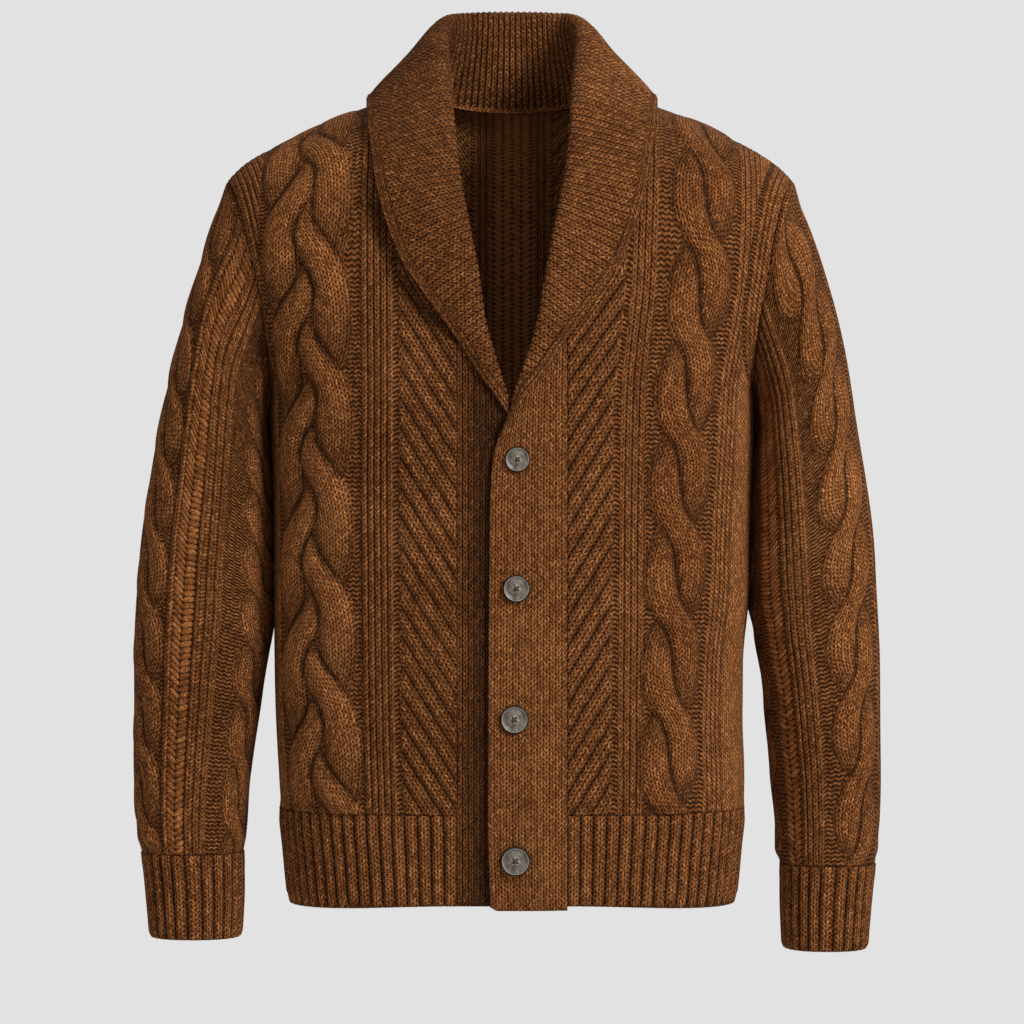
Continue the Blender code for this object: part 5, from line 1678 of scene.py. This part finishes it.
@dataclass
class Band(ClothPiece):
    """A front band that lies on the body's own surface, lifted where it laps over."""

    free_edge: Table
    seam_x: float
    bottom_z: float
    pitch: float = 0.0050
    raised: float = 0.0008
    # ribbed: the under band, whose grooves and edge are painted in deeper shade
    ribbed: bool = False
    tone: float = 0.0
    corner: float = 0.0030
    swells: float = 0.0009
    lift: Callable[[Array], Array] = staticmethod(lambda x: 0.0 * x)
    top_z: Callable[[float], float] = FIGURE.neck_z
    rows: int = 176
    samples: int = 5

    def build(self, material: Material) -> Object:
        """Build and dress the band."""
        widest = abs(self.seam_x - self.free_edge[0][1])
        count = max(3, round(widest / self.pitch))
        columns = count * self.samples + 1
        shares = np.linspace(0, 1, self.rows)
        across = np.linspace(0, 1, columns)
        edge_x, edge_top = self.free_edge[-1][1], self.top_z(self.free_edge[-1][1])
        base = np.zeros((self.rows, columns, 3))
        top_x = edge_x + (self.seam_x - edge_x) * across
        tops = np.array([self.top_z(float(x)) for x in top_x])
        for i, share in enumerate(shares):
            edge_z = self.bottom_z + share * (edge_top - self.bottom_z)
            free_x = float(monotone(self.free_edge, 1, edge_z))
            x = free_x + (self.seam_x - free_x) * across
            z = self.bottom_z + share * (tops - self.bottom_z)
            z = z + self.corner * (1 - ease(np.abs(x - free_x), 0.0, 0.008)) ** 2 * (1 - share) ** 24
            point, _ = FIGURE.at(x, z, -1)
            base[i] = point
            base[i, :, 1] -= self.lift(x)
        turns = np.broadcast_to(across[None, :] * count, base.shape[:2])
        grown = np.broadcast_to(base[..., 2], base.shape[:2])
        ridge = wave(turns, 0.6)
        border = (turns < 1.0).astype(float)
        height = self.raised * ridge + 0.0005 * border * ridge
        rounded = ease(turns, 0.0, 0.45)
        ends = ease(shares[:, None], 0.0, 0.006)
        height = height * rounded * ends + np.maximum(soft_waves(base, self.swells), 0.0) * rounded
        height = height * ease(count - turns, 0.0, 0.5)
        # painted shade in the rib grooves; on the under band also the top band's painted shadow near its
        # free edge and a painted dark hollow at the V
        painted_shade = (0.9 if self.ribbed else 0.45) * (1 - ridge)
        if self.ribbed:
            near = ease(base[..., 0], -0.050, -0.022)
            painted_shade = 1 - (1 - painted_shade) * (1 - 0.85 * near)
            from_v = ((base[..., 0] + 0.0125) / 0.0065) ** 2 + ((base[..., 2] + 0.2870) / 0.0080) ** 2
            painted_shade = 1 - (1 - painted_shade) * (1 - np.exp(-from_v))
        relief = Relief(height, np.zeros(turns.shape), painted_shade, np.full(turns.shape, self.tone))
        u = cell_corners(turns, False)
        v = cell_corners(grown, False) / STITCH_ROW
        seam_x, bottom_z, corner = self.seam_x, self.bottom_z, self.corner

        def square(grid: Array) -> None:
            """Hold the band's seam and its lower edge straight."""
            grid[:, -1, 0] = seam_x
            from_corner = np.abs(grid[0, :, 0] - grid[0, 0, 0])
            grid[0, :, 2] = bottom_z + corner * (1 - ease(from_corner, 0.0, 0.008)) ** 2

        out = 1 if self.seam_x > 0 else -1
        stitches = np.stack([u, v], axis=-1)
        wall = Wall(self.node, base, relief, stitches, out, square=square)
        front = "front_left" if self.seam_x > 0 else "front_right"
        return self.dress(wall.build(), material, base, False, "hung", [front])


def lift_over(x: Array) -> Array:
    """Return how far the top band's outside stands in front of the body's own surface."""
    return LAP_LIFT + (0.0012 - LAP_LIFT) * ease(x, 0.022, FIGURE.band_seam_x)


@dataclass
class ShawlCollar(ClothPiece):
    """The rolled collar, from the V round the back neck to the V, with its chain border."""

    # lapel stations from the V to the shoulder: roll line x and z, fall edge x and z, height of
    # the neck seam, plan direction in degrees, fold radius, thickness share, how far the under
    # lapel stays aside of the upper one
    lapel: Table = (
        (0.0000, -0.2670, -0.0020, -0.2780, -0.2730, 0, 0.0018, 0.70, 0.0030),
        (0.0040, -0.2550, 0.0085, -0.2640, -0.2590, 0, 0.0022, 0.85, 0.0024),
        (0.0115, -0.2330, 0.0250, -0.2425, -0.2375, 0, 0.0030, 1.00, 0.0018),
        (0.0225, -0.1970, 0.0446, -0.2133, -0.2068, 2, 0.0038, 1.00, 0.0010),
        (0.0293, -0.1560, 0.0669, -0.1830, -0.1722, 5, 0.0044, 1.00, 0.0000),
        (0.0378, -0.1120, 0.0942, -0.1408, -0.1293, 9, 0.0048, 1.00, 0.0000),
        (0.0450, -0.0750, 0.1108, -0.0926, -0.0856, 16, 0.0052, 1.00, 0.0000),
    )
    # neck stations: roll line x, y, z; fall edge x and z; angle of the neck seam round the
    # back, negative on the front; plan direction; fold radius
    neck: Table = (
        (0.0500, -0.0900, -0.0330, 0.1185, -0.0532, -22, 35, 0.0056),
        (0.0530, -0.0480, 0.0150, 0.1225, -0.0230, -10, 62, 0.0074),
        (0.0585, -0.0020, 0.0560, 0.1225, -0.0018, 0, 90, 0.0090),
        (0.0565, 0.0400, 0.0790, 0.1130, -0.0230, 34, 122, 0.0092),
        (0.0350, 0.0660, 0.0860, 0.0760, -0.0290, 62, 150, 0.0084),
        (0.0000, 0.0760, 0.0880, 0.0000, -0.0290, 90, 180, 0.0078),
    )
    front_seam_z: tuple[float, float] = (-0.0430, -0.0140)
    # how far the fall stands off the body: upper lapel, under lapel, round the neck
    fall_clearance: tuple[float, float, float] = (0.0050, 0.0105, 0.0030)
    lapel_clearance: float = 0.0014
    # fall edge of the upper lapel's tip, distance from the middle and height
    upper_tip: tuple[float, float] = (-0.0108, -0.2945)
    rib_pitch: float = 0.0062
    rib_raised: float = 0.0016
    border: float = 0.0078
    fine_step: float = 0.0021
    # points between two controls, from the neck seam over the roll to the fall edge
    steps_across: tuple[int, ...] = (5, 5, 3, 3, 10, 10, 10)

    def facing_out(self, plan: float, reach: Array) -> Array:
        """Return the unit direction from a fold's inside to its outside, square to its reach."""
        turn = math.radians(plan)
        facing = np.array([math.sin(turn), -math.cos(turn), 0.0])
        return unit(facing - unit(reach) * facing.dot(unit(reach)))

    def over_fold(
        self, start: Array, roll: Array, end: Array, reach: Array, out: Array, sizes: Sequence[float]
    ) -> list:
        """Return the control points from a seam over the roll to the fall edge.

        Args:
            start: point on the seam.
            roll: point on the roll line.
            end: point on the fall edge.
            reach: unit direction from the cloth up to the roll.
            out: unit direction from the fold's inside to its outside.
            sizes: the fold's height and radius, how far the stand leans in and the fall swells out,
                the side of the body, and how far the fall keeps off it.

        Returns:
            Eight points.
        """
        height, radius, lean, swell, side, need = sizes
        before = roll - reach * height - out * radius
        after = roll - reach * height + out * radius
        low, high = (after + (end - after) * share + out * swell for share in (1 / 3, 2 / 3))
        low, high = (FIGURE.clear_of_body(point, side, need) for point in (low, high))
        return [start, (start + before) / 2 - out * lean, before, roll, after, low, high, end]

    def lapel_controls(self, row: Sequence[float], upper: bool) -> tuple[list, float]:
        """Work out a lapel's control points from the neck seam over the roll to the fall edge.

        Args:
            row: one lapel station.
            upper: whether the lapel lies on the top band.

        Returns:
            The points, and half the cloth's thickness.
        """
        roll_x, roll_z, edge_x, edge_z, seam_z, plan, radius, share, aside = row
        aside = 0.0 if upper else aside
        if upper and roll_z == self.lapel[0][1]:
            edge_x, edge_z = self.upper_tip
        half = WALL * share / 2
        seam_x = float(monotone(FIGURE.neck_line, 1, seam_z)) + aside
        on_band = seam_x < FIGURE.band_seam_x
        lift = float(lift_over(seam_x)) if upper and on_band else 0.0
        seam, seam_normal = FIGURE.at(seam_x, seam_z, -1)
        roll_base, roll_normal = FIGURE.at(roll_x + aside, roll_z, -1)
        edge_base, edge_normal = FIGURE.at(edge_x + aside, edge_z, -1)
        covered = lift + self.lapel_clearance if on_band else self.fall_clearance[not upper]
        roll = roll_base + roll_normal * (lift - half + radius)
        end = edge_base + edge_normal * (covered + half)
        reach = roll - (seam + edge_base) / 2
        out = self.facing_out(plan, reach)
        reach = unit(reach)
        start = seam + seam_normal * (lift - half) + reach * 0.0008
        sizes = (radius, radius, 0.0, 0.001, -1, covered + half)
        return self.over_fold(start, roll, end, reach, out, sizes), half

    def neck_controls(self, index: int, row: Sequence[float]) -> tuple[list, float]:
        """Work out the same control points where the collar stands round the neck.

        Args:
            index: the station's place in the table.
            row: one neck station.

        Returns:
            The points, and half the cloth's thickness.
        """
        roll_x, roll_y, roll_z, edge_x, edge_z, seam_angle, plan, radius = row
        half = WALL / 2
        if seam_angle < 0:
            seam_z = self.front_seam_z[index]
            seam, _ = FIGURE.at(float(monotone(FIGURE.neck_line, 1, seam_z)), seam_z, -1)
        else:
            turn = math.radians(seam_angle)
            drop = FIGURE.neck_point_z - FIGURE.neck[2]
            seam_z = FIGURE.neck_point_z - drop * math.sin(turn) ** 2
            seam = np.array([FIGURE.neck[0] * math.cos(turn), FIGURE.neck[1] * math.sin(turn), seam_z])
        side = -1 if seam_angle <= 0 else 1
        if seam_angle == 0:
            edge_z = float(monotone(FIGURE.shoulder, 1, edge_x))
        roll = np.array([roll_x, roll_y, roll_z])
        edge_base, edge_normal = FIGURE.at(edge_x, edge_z, side)
        need = self.fall_clearance[2] + half
        end = edge_base + edge_normal * need
        reach = roll - (seam + edge_base) / 2
        out = self.facing_out(plan, reach)
        reach = unit(reach)
        start = seam - out * (half + 0.0016) - reach * 0.0024
        sizes = (radius * 1.2, radius, 0.001, 0.002, side, need)
        return self.over_fold(start, roll, end, reach, out, sizes), half

    def half_controls(self, upper: bool) -> tuple[Array, Array]:
        """Return the control points of half the collar and each station's half thickness."""
        stations = [self.lapel_controls(row, upper) for row in self.lapel]
        stations += [self.neck_controls(index, row) for index, row in enumerate(self.neck)]
        points = np.array([controls for controls, _ in stations])
        if not upper:
            points[..., 0] *= -1
        return points, np.array([half for _, half in stations])

    def middle_grid(self) -> tuple[Array, Array]:
        """Return the fine grid through the collar's middle and its half thickness."""
        right, right_half = self.half_controls(False)
        left, left_half = self.half_controls(True)
        stations = np.concatenate([right, left[-2::-1]])
        halves = np.concatenate([right_half, left_half[-2::-1]])
        spans = len(stations) - 1
        lapel = len(self.lapel) - 1
        widest = np.linalg.norm(np.diff(stations[:, -1], axis=0), axis=1)
        mean = (widest + np.linalg.norm(np.diff(stations[:, 3], axis=0), axis=1)) / 2
        counts = [max(3, round(float(size) / self.fine_step)) for size in mean]
        lines = np.stack([curve_through(stations[:, k], counts) for k in range(8)], axis=1)
        thickness = curve_through(halves[:, None], counts)
        middle = np.array([curve_through(line, self.steps_across) for line in lines])
        first = sum(counts[:lapel])
        last = len(middle) - sum(counts[spans - lapel :])
        start = sum(self.steps_across[:5])
        need = self.fall_clearance[2] + WALL / 2
        for row in middle[first:last]:
            for j in range(start, len(row)):
                row[j] = FIGURE.clear_of_body(row[j], -1 if row[j][1] < 0 else 1, need)
        return middle, thickness

    def build(self, material: Material) -> Object:
        """Build and dress the collar."""
        middle, thickness = self.middle_grid()
        normal = -grid_normals(middle, False)
        length = travelled(middle, 1)
        roll = sum(self.steps_across[:3])
        step = np.linalg.norm(np.diff(middle, axis=0), axis=2)
        on_neck = ease(middle[1:, roll, 2], -0.060, 0.020)
        pitch = (0.35 + 0.50 * on_neck) * step[:, roll] + (0.65 - 0.50 * on_neck) * step[:, -1]
        turn = np.concatenate([[0], np.cumsum(pitch)]) / self.rib_pitch
        turns = np.broadcast_to(turn[:, None], length.shape)
        from_edge = length[:, -1:] - length
        ridge = wave(turns, 0.8)
        ridge_height = self.rib_raised * ridge
        column = wave(from_edge / (self.border / 2), 0.6)
        on_border = from_edge < self.border
        height = np.where(on_border, 0.0004 + 0.0014 * column, ridge_height)
        ends = ease(turns, 0.0, 0.8) * ease(turn[-1] - turns, 0.0, 0.8)
        height = height * ends
        rounded = (0.45 + 0.55 * np.sqrt(np.clip(from_edge / 0.0045, 0.0, 1.0)))[..., None]
        thick = thickness[:, :, None] * rounded
        outer = middle + normal * (thick + (height[..., None] * 0.8 - 0.0004) * rounded)
        inner = middle - normal * (thick + (0.6 * ridge_height[..., None] - 0.0004) * rounded)
        turned = cell_corners(turns, False)
        reach = cell_corners(from_edge, False)
        chained = reach.mean(-1, keepdims=True) < self.border
        u = np.where(chained, reach / (self.border / 2), turned)
        v = np.where(chained, turned * self.rib_pitch / (STITCH_ROW * 1.1), reach / STITCH_ROW)
        front = np.stack([u, v], axis=-1)
        back = np.stack([turned, reach / STITCH_ROW], axis=-1)
        # painted shade in the rib grooves, along the border's seam and on the inside
        seam = np.exp(-(((from_edge - self.border) / 0.0012) ** 2))
        fall = ease(length - length[:, roll : roll + 1], -0.006, 0.006)
        depth = np.minimum(1.0, (1.25 - 0.55 * fall) * (1.0 - ridge))
        painted_shade = np.where(on_border, 0.8 * (1 - column), depth)
        painted_shade = np.maximum(painted_shade, 0.9 * seam)
        masks = np.concatenate([painted_shade.ravel(), (0.25 + 0.70 * (1 - ridge)).ravel()])
        piece = self.join(outer, inner, front, back, masks)
        return self.dress(piece, material, middle, False, "draped", ["back", "front_left"])

    def join(self, outer: Array, inner: Array, front: Array, back: Array, painted_shade: Array) -> Object:
        """Join both sides of the collar round its edges.

        Args:
            outer: the outside's points.
            inner: the inside's points.
            front: stitch coordinates of the outside's corners.
            back: stitch coordinates of the inside's corners.
            painted_shade: how dark each point is painted, outside and then inside.

        Returns:
            The new object.
        """
        rows, columns = outer.shape[:2]
        outer_ids = np.arange(rows * columns).reshape(rows, columns)
        inner_ids = outer_ids + rows * columns
        quads = [cells(outer_ids, False), cells(inner_ids, False)[:, ::-1]]
        uv = [front.reshape(-1, 2), back.reshape(-1, 4, 2)[:, ::-1].reshape(-1, 2)]
        rim = []
        for edge in (0, -1):
            pair = np.stack([outer_ids[edge], inner_ids[edge]])
            rim.append(pair if edge == 0 else pair[::-1])
            pair = np.stack([outer_ids[:, edge], inner_ids[:, edge]])
            rim.append(pair[::-1] if edge == 0 else pair)
        for pair in rim:
            faces = cells(pair, False)
            quads.append(faces)
            flat = np.zeros((len(faces) * 4, 2))
            flat[:, 0] = faces.ravel() % rows * 0.5
            uv.append(flat)
        # painted shade on the wearer's right lapel, which faces away from the light
        lapel_painted_shade = -0.13 * ease(-outer[..., 0].ravel(), 0.0, 0.035)
        masks = [np.zeros(len(painted_shade)), painted_shade, np.tile(lapel_painted_shade, 2)]
        verts = np.concatenate([outer.reshape(-1, 3), inner.reshape(-1, 3)])
        return make_mesh(self.node, verts, np.concatenate(quads), [], uv, masks)


@dataclass
class Bead:
    """A sewn seam's rounded ridge, swept along a line."""

    name: str
    slot: str
    line: Array
    radius: float
    shade: float = 0.45
    sides: int = 8

    def build(self, material: Material) -> Object:
        """Build and dress the ridge."""
        ahead = unit(np.gradient(self.line, axis=0))
        out = self.line - self.line.mean(axis=0)
        out = unit(out - (out * ahead).sum(1, keepdims=True) * ahead)
        aside = np.cross(ahead, out)
        turns = 2 * math.pi * np.arange(self.sides) / self.sides
        ring = np.cos(turns)[None, :, None] * out[:, None] + np.sin(turns)[None, :, None] * aside[:, None]
        length = travelled(self.line)
        swell = 1 + 0.16 * np.sin(2 * math.pi * length / STITCH_WIDTH)
        verts = self.line[:, None] + ring * self.radius * swell[:, None, None]
        ids = np.arange(verts.shape[0] * self.sides).reshape(verts.shape[:2])
        quads = cells(ids, True)
        turned = np.broadcast_to(np.arange(self.sides)[None, :] / self.sides, ids.shape)
        u = 2 * cell_corners(turned, True, 1.0)
        v = cell_corners(np.broadcast_to(length[:, None], ids.shape), True) / STITCH_ROW
        tris = []
        for edge, order in ((0, 1), (-1, -1)):
            loop = ids[edge][::order]
            tris += [(int(loop[0]), int(loop[k + 1]), int(loop[k])) for k in range(1, self.sides - 1)]
        flat = np.zeros((len(tris) * 3, 2))
        masks = [np.zeros(ids.size), np.full(ids.size, self.shade), np.zeros(ids.size)]
        uv = [np.stack([u, v], axis=-1).reshape(-1, 2), flat]
        piece = make_mesh(self.name, verts.reshape(-1, 3), quads, tris, uv, masks)
        piece.data.materials.append(material)
        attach(piece, "root")
        return piece


def armhole_line(mirror: int, sunk: float) -> Array:
    """Return the closed line of an armhole's seam, a little below the cloth's surface."""
    tube = Tube(SLEEVE_SECTIONS, mirror)
    ring = tube.ring(0.0, np.linspace(0.0, 2 * math.pi, 181))
    middle = ring[:-1].mean(axis=0)
    out = unit((ring - middle) * (0, 1, 1))
    at_tip = np.maximum(out[:, 2], 0.0) ** 20
    ring[:, 0] -= 0.0030 * mirror * at_tip
    ring[:, 2] -= 0.0048 * at_tip
    return ring - out * sunk


def neck_seam_line() -> Array:
    """Return the line of the seam between the back and the collar, on the inside of the neck."""
    turns = np.linspace(math.radians(28), math.radians(152), 81)
    across, depth, low = FIGURE.neck
    drop = (FIGURE.neck_point_z - low) * np.sin(turns) ** 2
    heights = FIGURE.neck_point_z - drop - 0.0012
    return np.stack([(across - 0.0064) * np.cos(turns), (depth - 0.0070) * np.sin(turns), heights], axis=-1)


@dataclass
class Button:
    """Turned four-hole button with a raised rim, sewn on with thread."""

    index: int
    x: float
    z: float
    scale: float = 1.0
    hole: float = 0.0011
    spacing: float = 0.0021
    thread_radius: float = 0.0007
    # radius and height from the middle of the face round to the back
    profile: Table = (
        (0.0000, 0.0024), (0.0050, 0.0024), (0.0082, 0.0027), (0.0096, 0.0033), (0.0101, 0.0040),
        (0.0107, 0.0043), (0.0113, 0.0042), (0.0118, 0.0035), (0.01225, 0.0024), (0.0118, 0.0016),
        (0.0106, 0.0007), (0.0080, 0.0001), (0.0000, 0.0001),
    )

    def place(self) -> Matrix:
        """Return where the button sits on the top band."""
        surface, normal = FIGURE.at(self.x, self.z, -1)
        turn = Vector(tuple(map(float, normal))).to_track_quat("Z", "Y").to_matrix().to_4x4()
        spot = Vector((float(surface[0]), float(surface[1]) - LAP_LIFT - SEAM_GAP, float(surface[2])))
        return Matrix.Translation(spot) @ turn @ Matrix.Scale(self.scale, 4)

    def hole_centres(self) -> list[tuple[float, float]]:
        """Return the middle of each hole."""
        turns = [math.pi / 4 + k * math.pi / 2 for k in range(4)]
        return [(self.spacing * math.cos(turn), self.spacing * math.sin(turn)) for turn in turns]

    def build(self, horn: Material) -> Object:
        """Build the button's turned body with its holes cut through."""
        segments = 72
        solid = bmesh.new()
        turns = [2 * math.pi * k / segments for k in range(segments)]
        rings = [
            [solid.verts.new((radius * math.cos(turn), radius * math.sin(turn), height)) for turn in turns]
            for radius, height in self.profile[1:-1]
        ]
        for near, far in zip(rings, rings[1:]):
            for k in range(segments):
                after = (k + 1) % segments
                solid.faces.new((near[k], far[k], far[after], near[after]))
        solid.faces.new(rings[0])
        solid.faces.new(rings[-1][::-1])
        bmesh.ops.recalc_face_normals(solid, faces=solid.faces)
        mesh = bpy.data.meshes.new(f"turned_button_{self.index}")
        solid.to_mesh(mesh)
        solid.free()
        mesh.materials.append(horn)
        button = put_in_scene(mesh.name, mesh)
        button.matrix_world = self.place()
        self.cut_holes(button)
        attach(button, "root")
        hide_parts(f"button_{self.index}")
        return button

    def cut_holes(self, button: Object) -> None:
        """Cut the four holes through the button."""
        drill = bmesh.new()
        for x, y in self.hole_centres():
            bmesh.ops.create_cone(
                drill,
                cap_ends=True,
                segments=20,
                radius1=self.hole,
                radius2=self.hole,
                depth=0.02,
                matrix=Matrix.Translation((x, y, 0.0)),
            )
        mesh = bpy.data.meshes.new("drill")
        drill.to_mesh(mesh)
        drill.free()
        cutter = put_in_scene("drill", mesh)
        cutter.matrix_world = button.matrix_world
        cut = button.modifiers.new("holes", "BOOLEAN")
        cut.solver = "EXACT"
        cut.object = cutter
        bpy.context.view_layer.update()
        graph = bpy.context.evaluated_depsgraph_get()
        made = bpy.data.meshes.new_from_object(button.evaluated_get(graph))
        button.modifiers.clear()
        old = button.data
        button.data = made
        bpy.data.meshes.remove(old)
        bpy.data.objects.remove(cutter)
        bpy.data.meshes.remove(mesh)

    def sew(self, thread: Material) -> Object:
        """Build the thread that crosses from hole to hole."""
        curve = bpy.data.curves.new(f"button_thread_{self.index}", "CURVE")
        curve.dimensions = "3D"
        curve.bevel_depth = self.thread_radius
        curve.bevel_resolution = 2
        holes = self.hole_centres()
        for near, far in ((0, 2), (1, 3)):
            for lay in (-self.thread_radius / 2, self.thread_radius / 2):
                spline = curve.splines.new("POLY")
                spline.points.add(6)
                for k in range(7):
                    share = k / 6
                    x = holes[near][0] + (holes[far][0] - holes[near][0]) * share
                    y = holes[near][1] + (holes[far][1] - holes[near][1]) * share
                    rise = math.sin(math.pi * share) ** 0.5
                    spline.points[k].co = (x + lay, y + 0.3 * lay, 0.0012 + 0.0031 * rise, 1.0)
        maker = put_in_scene(curve.name, curve)
        bpy.context.view_layer.update()
        graph = bpy.context.evaluated_depsgraph_get()
        mesh = bpy.data.meshes.new_from_object(maker.evaluated_get(graph))
        bpy.data.objects.remove(maker)
        mesh.name = f"button_thread_{self.index}"
        mesh.materials.clear()
        mesh.materials.append(thread)
        piece = put_in_scene(mesh.name, mesh)
        piece.matrix_world = self.place()
        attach(piece, "root")
        return piece


@dataclass(frozen=True)
class Studio:
    """Pale floor, soft light and the camera."""

    eye: tuple[float, float, float] = (0.0, -3.33, -0.357)
    lens: float = 134.0
    floor_z: float = -1.45
    floor_radius: float = 3.5

    def lamp(self, name: str, place: Vector, aim: Vector, size: float, power: float) -> None:
        """Hang one square soft light."""
        light = bpy.data.lights.new(name, "AREA")
        light.shape = "SQUARE"
        light.size = size
        light.energy = power
        hung = put_in_scene(name, light)
        hung.location = place
        hung.rotation_euler = (aim - place).to_track_quat("-Z", "Y").to_euler()

    def build(self, paint: Material) -> None:
        """Set the floor, the lights, the world and the camera."""
        bpy.ops.mesh.primitive_circle_add(
            vertices=96,
            radius=self.floor_radius,
            fill_type="NGON",
            location=(0.0, 0.0, self.floor_z),
        )
        floor = bpy.context.active_object
        floor.name = "studio_floor"
        floor.data.materials.append(paint)
        aim = Vector((0.0, 0.0, -0.33))
        self.lamp("key", Vector((2.1, -2.2, 1.5)), aim, 1.0, 117.0)
        self.lamp("fill", Vector((-2.4, -2.4, 0.4)), aim, 2.0, 12.0)
        self.lamp("rim", Vector((0.4, 2.2, 1.8)), aim, 1.4, 18.0)
        world = bpy.data.worlds.new("studio")
        bpy.context.scene.world = world
        world.use_nodes = True
        world.node_tree.nodes.clear()
        n = Nodes(world.node_tree)
        seen = n.add("ShaderNodeLightPath").outputs["Is Camera Ray"]
        colour = n.mix(seen, (0.325, 0.315, 0.31, 1.0), (0.761, 0.761, 0.761, 1.0))
        backdrop = n.add("ShaderNodeBackground")
        n.feed(backdrop.inputs[0], colour)
        output = n.add("ShaderNodeOutputWorld")
        n.feed(output.inputs[0], backdrop.outputs[0])
        bpy.context.scene.view_settings.view_transform = "Standard"
        camera = bpy.data.cameras.new("camera")
        camera.lens = self.lens
        camera.sensor_width = 36.0
        eye = put_in_scene("camera", camera)
        eye.location = self.eye
        eye.rotation_euler = (math.pi / 2, 0.0, 0.0)
        bpy.context.scene.camera = eye


BUTTON_SPOTS: Table = (
    # distance from the middle, height, size against the turned form
    (0.0046, -0.3129, 0.88), (0.0038, -0.4213, 0.95), (0.0021, -0.5313, 0.98),
    (0.0029, -0.6506, 1.03),
)
LAPEL_EDGE: Table = (
    # distance from the middle and height where the under lapel's edge hangs over the front, along which its
    # shadow is painted
    (0.0120, -0.2700), (0.0320, -0.2450), (0.0520, -0.2160), (0.0740, -0.1850), (0.1000, -0.1430),
    (0.1160, -0.1000),
)
FREE_EDGE: Table = (
    # height, distance from the middle of the top band's free edge
    (-0.6935, -0.0185), (-0.6200, -0.0205), (-0.3700, -0.0192), (-0.3280, -0.0178),
    (-0.3130, -0.0162), (-0.3000, -0.0134), (-0.2900, -0.0098), (-0.2830, -0.0062),
)
RIGHT_SLEEVE = SleevePattern(
    lag=16.0,
    cables=(39.0, 146.0, 262.0, 322.0),
    rib_groups=((64.0, 70.0), (87.0, 105.0), (200.0, 226.0), (290.0, 296.0), (352.0, 366.0)),
    fishbone=((70.0, 87.0), (176.0, 196.0)),
    rope=Cable(2, 0.1290, 0.0, 0.0112, 0.0130, raised=0.0054),
)
LEFT_SLEEVE = SleevePattern(
    fishbone=((124.0, 146.0), (246.0, 264.0)),
    cables=(61.0, 185.0, 290.0),
    rib_groups=((97.0, 122.0), (216.0, 242.0), (330.0, 384.0)),
    rope=Cable(2, 0.1500, 0.0, 0.0124, 0.0142, raised=0.0056),
)


def under_edge_z(x: float) -> float:
    """Return the height of the under band's top at a distance from the middle."""
    aside = 0.0045 * (1 - float(ease(abs(x), 0.022, 0.038)))
    return FIGURE.neck_z(max(abs(x), 0.0100) - aside) - 0.0022


def over_edge_z(x: float) -> float:
    """Return the height of the top band's top at a distance from the middle."""
    return FIGURE.neck_z(x) - SEAM_GAP


def report(made: Object) -> None:
    """Say which piece is ready and how many faces it has."""
    LOG.info("%s: %d faces", made.name, len(made.data.polygons))


def main() -> None:
    """Build every piece, the studio and the camera."""
    logging.basicConfig(level=logging.INFO, format="%(name)s: %(message)s")
    groups = {"stitch": stitch_group(), "marl": marl_group()}
    wool = Wool("body_wool").make(groups)
    seam = FIGURE.band_seam_x + SEAM_GAP
    pieces: list = [
        Panel("front_right", RIGHT_FRONT, mirror=-1, edge_ribs=9, lapel_edge=LAPEL_EDGE),
        Panel("front_left", LEFT_FRONT),
        Panel("back", BACK_HALF, side=1),
        Welt("welt_front_right", mirror=-1),
        Welt("welt_front_left"),
        Welt("welt_back", side=1),
        Sleeve("sleeve_right", Tube(SLEEVE_SECTIONS, -1), RIGHT_SLEEVE),
        Sleeve(
            "sleeve_left",
            Tube(SLEEVE_SECTIONS, 1, LEFT_SHORTER),
            LEFT_SLEEVE,
            set_in=0.0030,
            slim=0.0,
            proud=-0.0008,
            waist=0.0042,
        ),
        Cuff("cuff_right", Tube(CUFF_SECTIONS, -1, at_armhole=False), -0.65115),
        Cuff("cuff_left", Tube(CUFF_SECTIONS, 1, LEFT_SHORTER, False), -0.66115),
        Band("band_left", FREE_EDGE, seam, FIGURE.band_bottom_z, lift=lift_over, top_z=over_edge_z),
        Band(
            "band_right",
            ((FIGURE.hem_z, 0.0120), (0.0, 0.0120)),
            -seam,
            FIGURE.hem_z,
            pitch=0.0048,
            raised=0.0010,
            # the under band is painted darker, in the top band's shade
            ribbed=True,
            tone=-0.12,
            top_z=under_edge_z,
        ),
        ShawlCollar("collar"),
    ]
    for mirror, side in ((-1, "right"), (1, "left")):
        line = armhole_line(mirror, 0.0014)
        pieces.append(Bead(f"armhole_seam_{side}", f"sleeve_{side}", line, 0.0028, shade=0.20))
    pieces.append(Bead("neck_seam", "collar", neck_seam_line(), 0.0022, shade=0.0))
    for piece in pieces:
        report(piece.build(wool))
    horn = Horn().make()
    tan = Wool("thread", (0.26, 0.15, 0.08), (0.52, 0.34, 0.20), (0.74, 0.55, 0.37))
    thread = tan.make(groups)
    for index, (x, z, scale) in enumerate(BUTTON_SPOTS, start=1):
        button = Button(index, x, z, scale)
        report(button.build(horn))
        report(button.sew(thread))
    Studio().build(Paint().make())


if __name__ == "__main__":
    main()
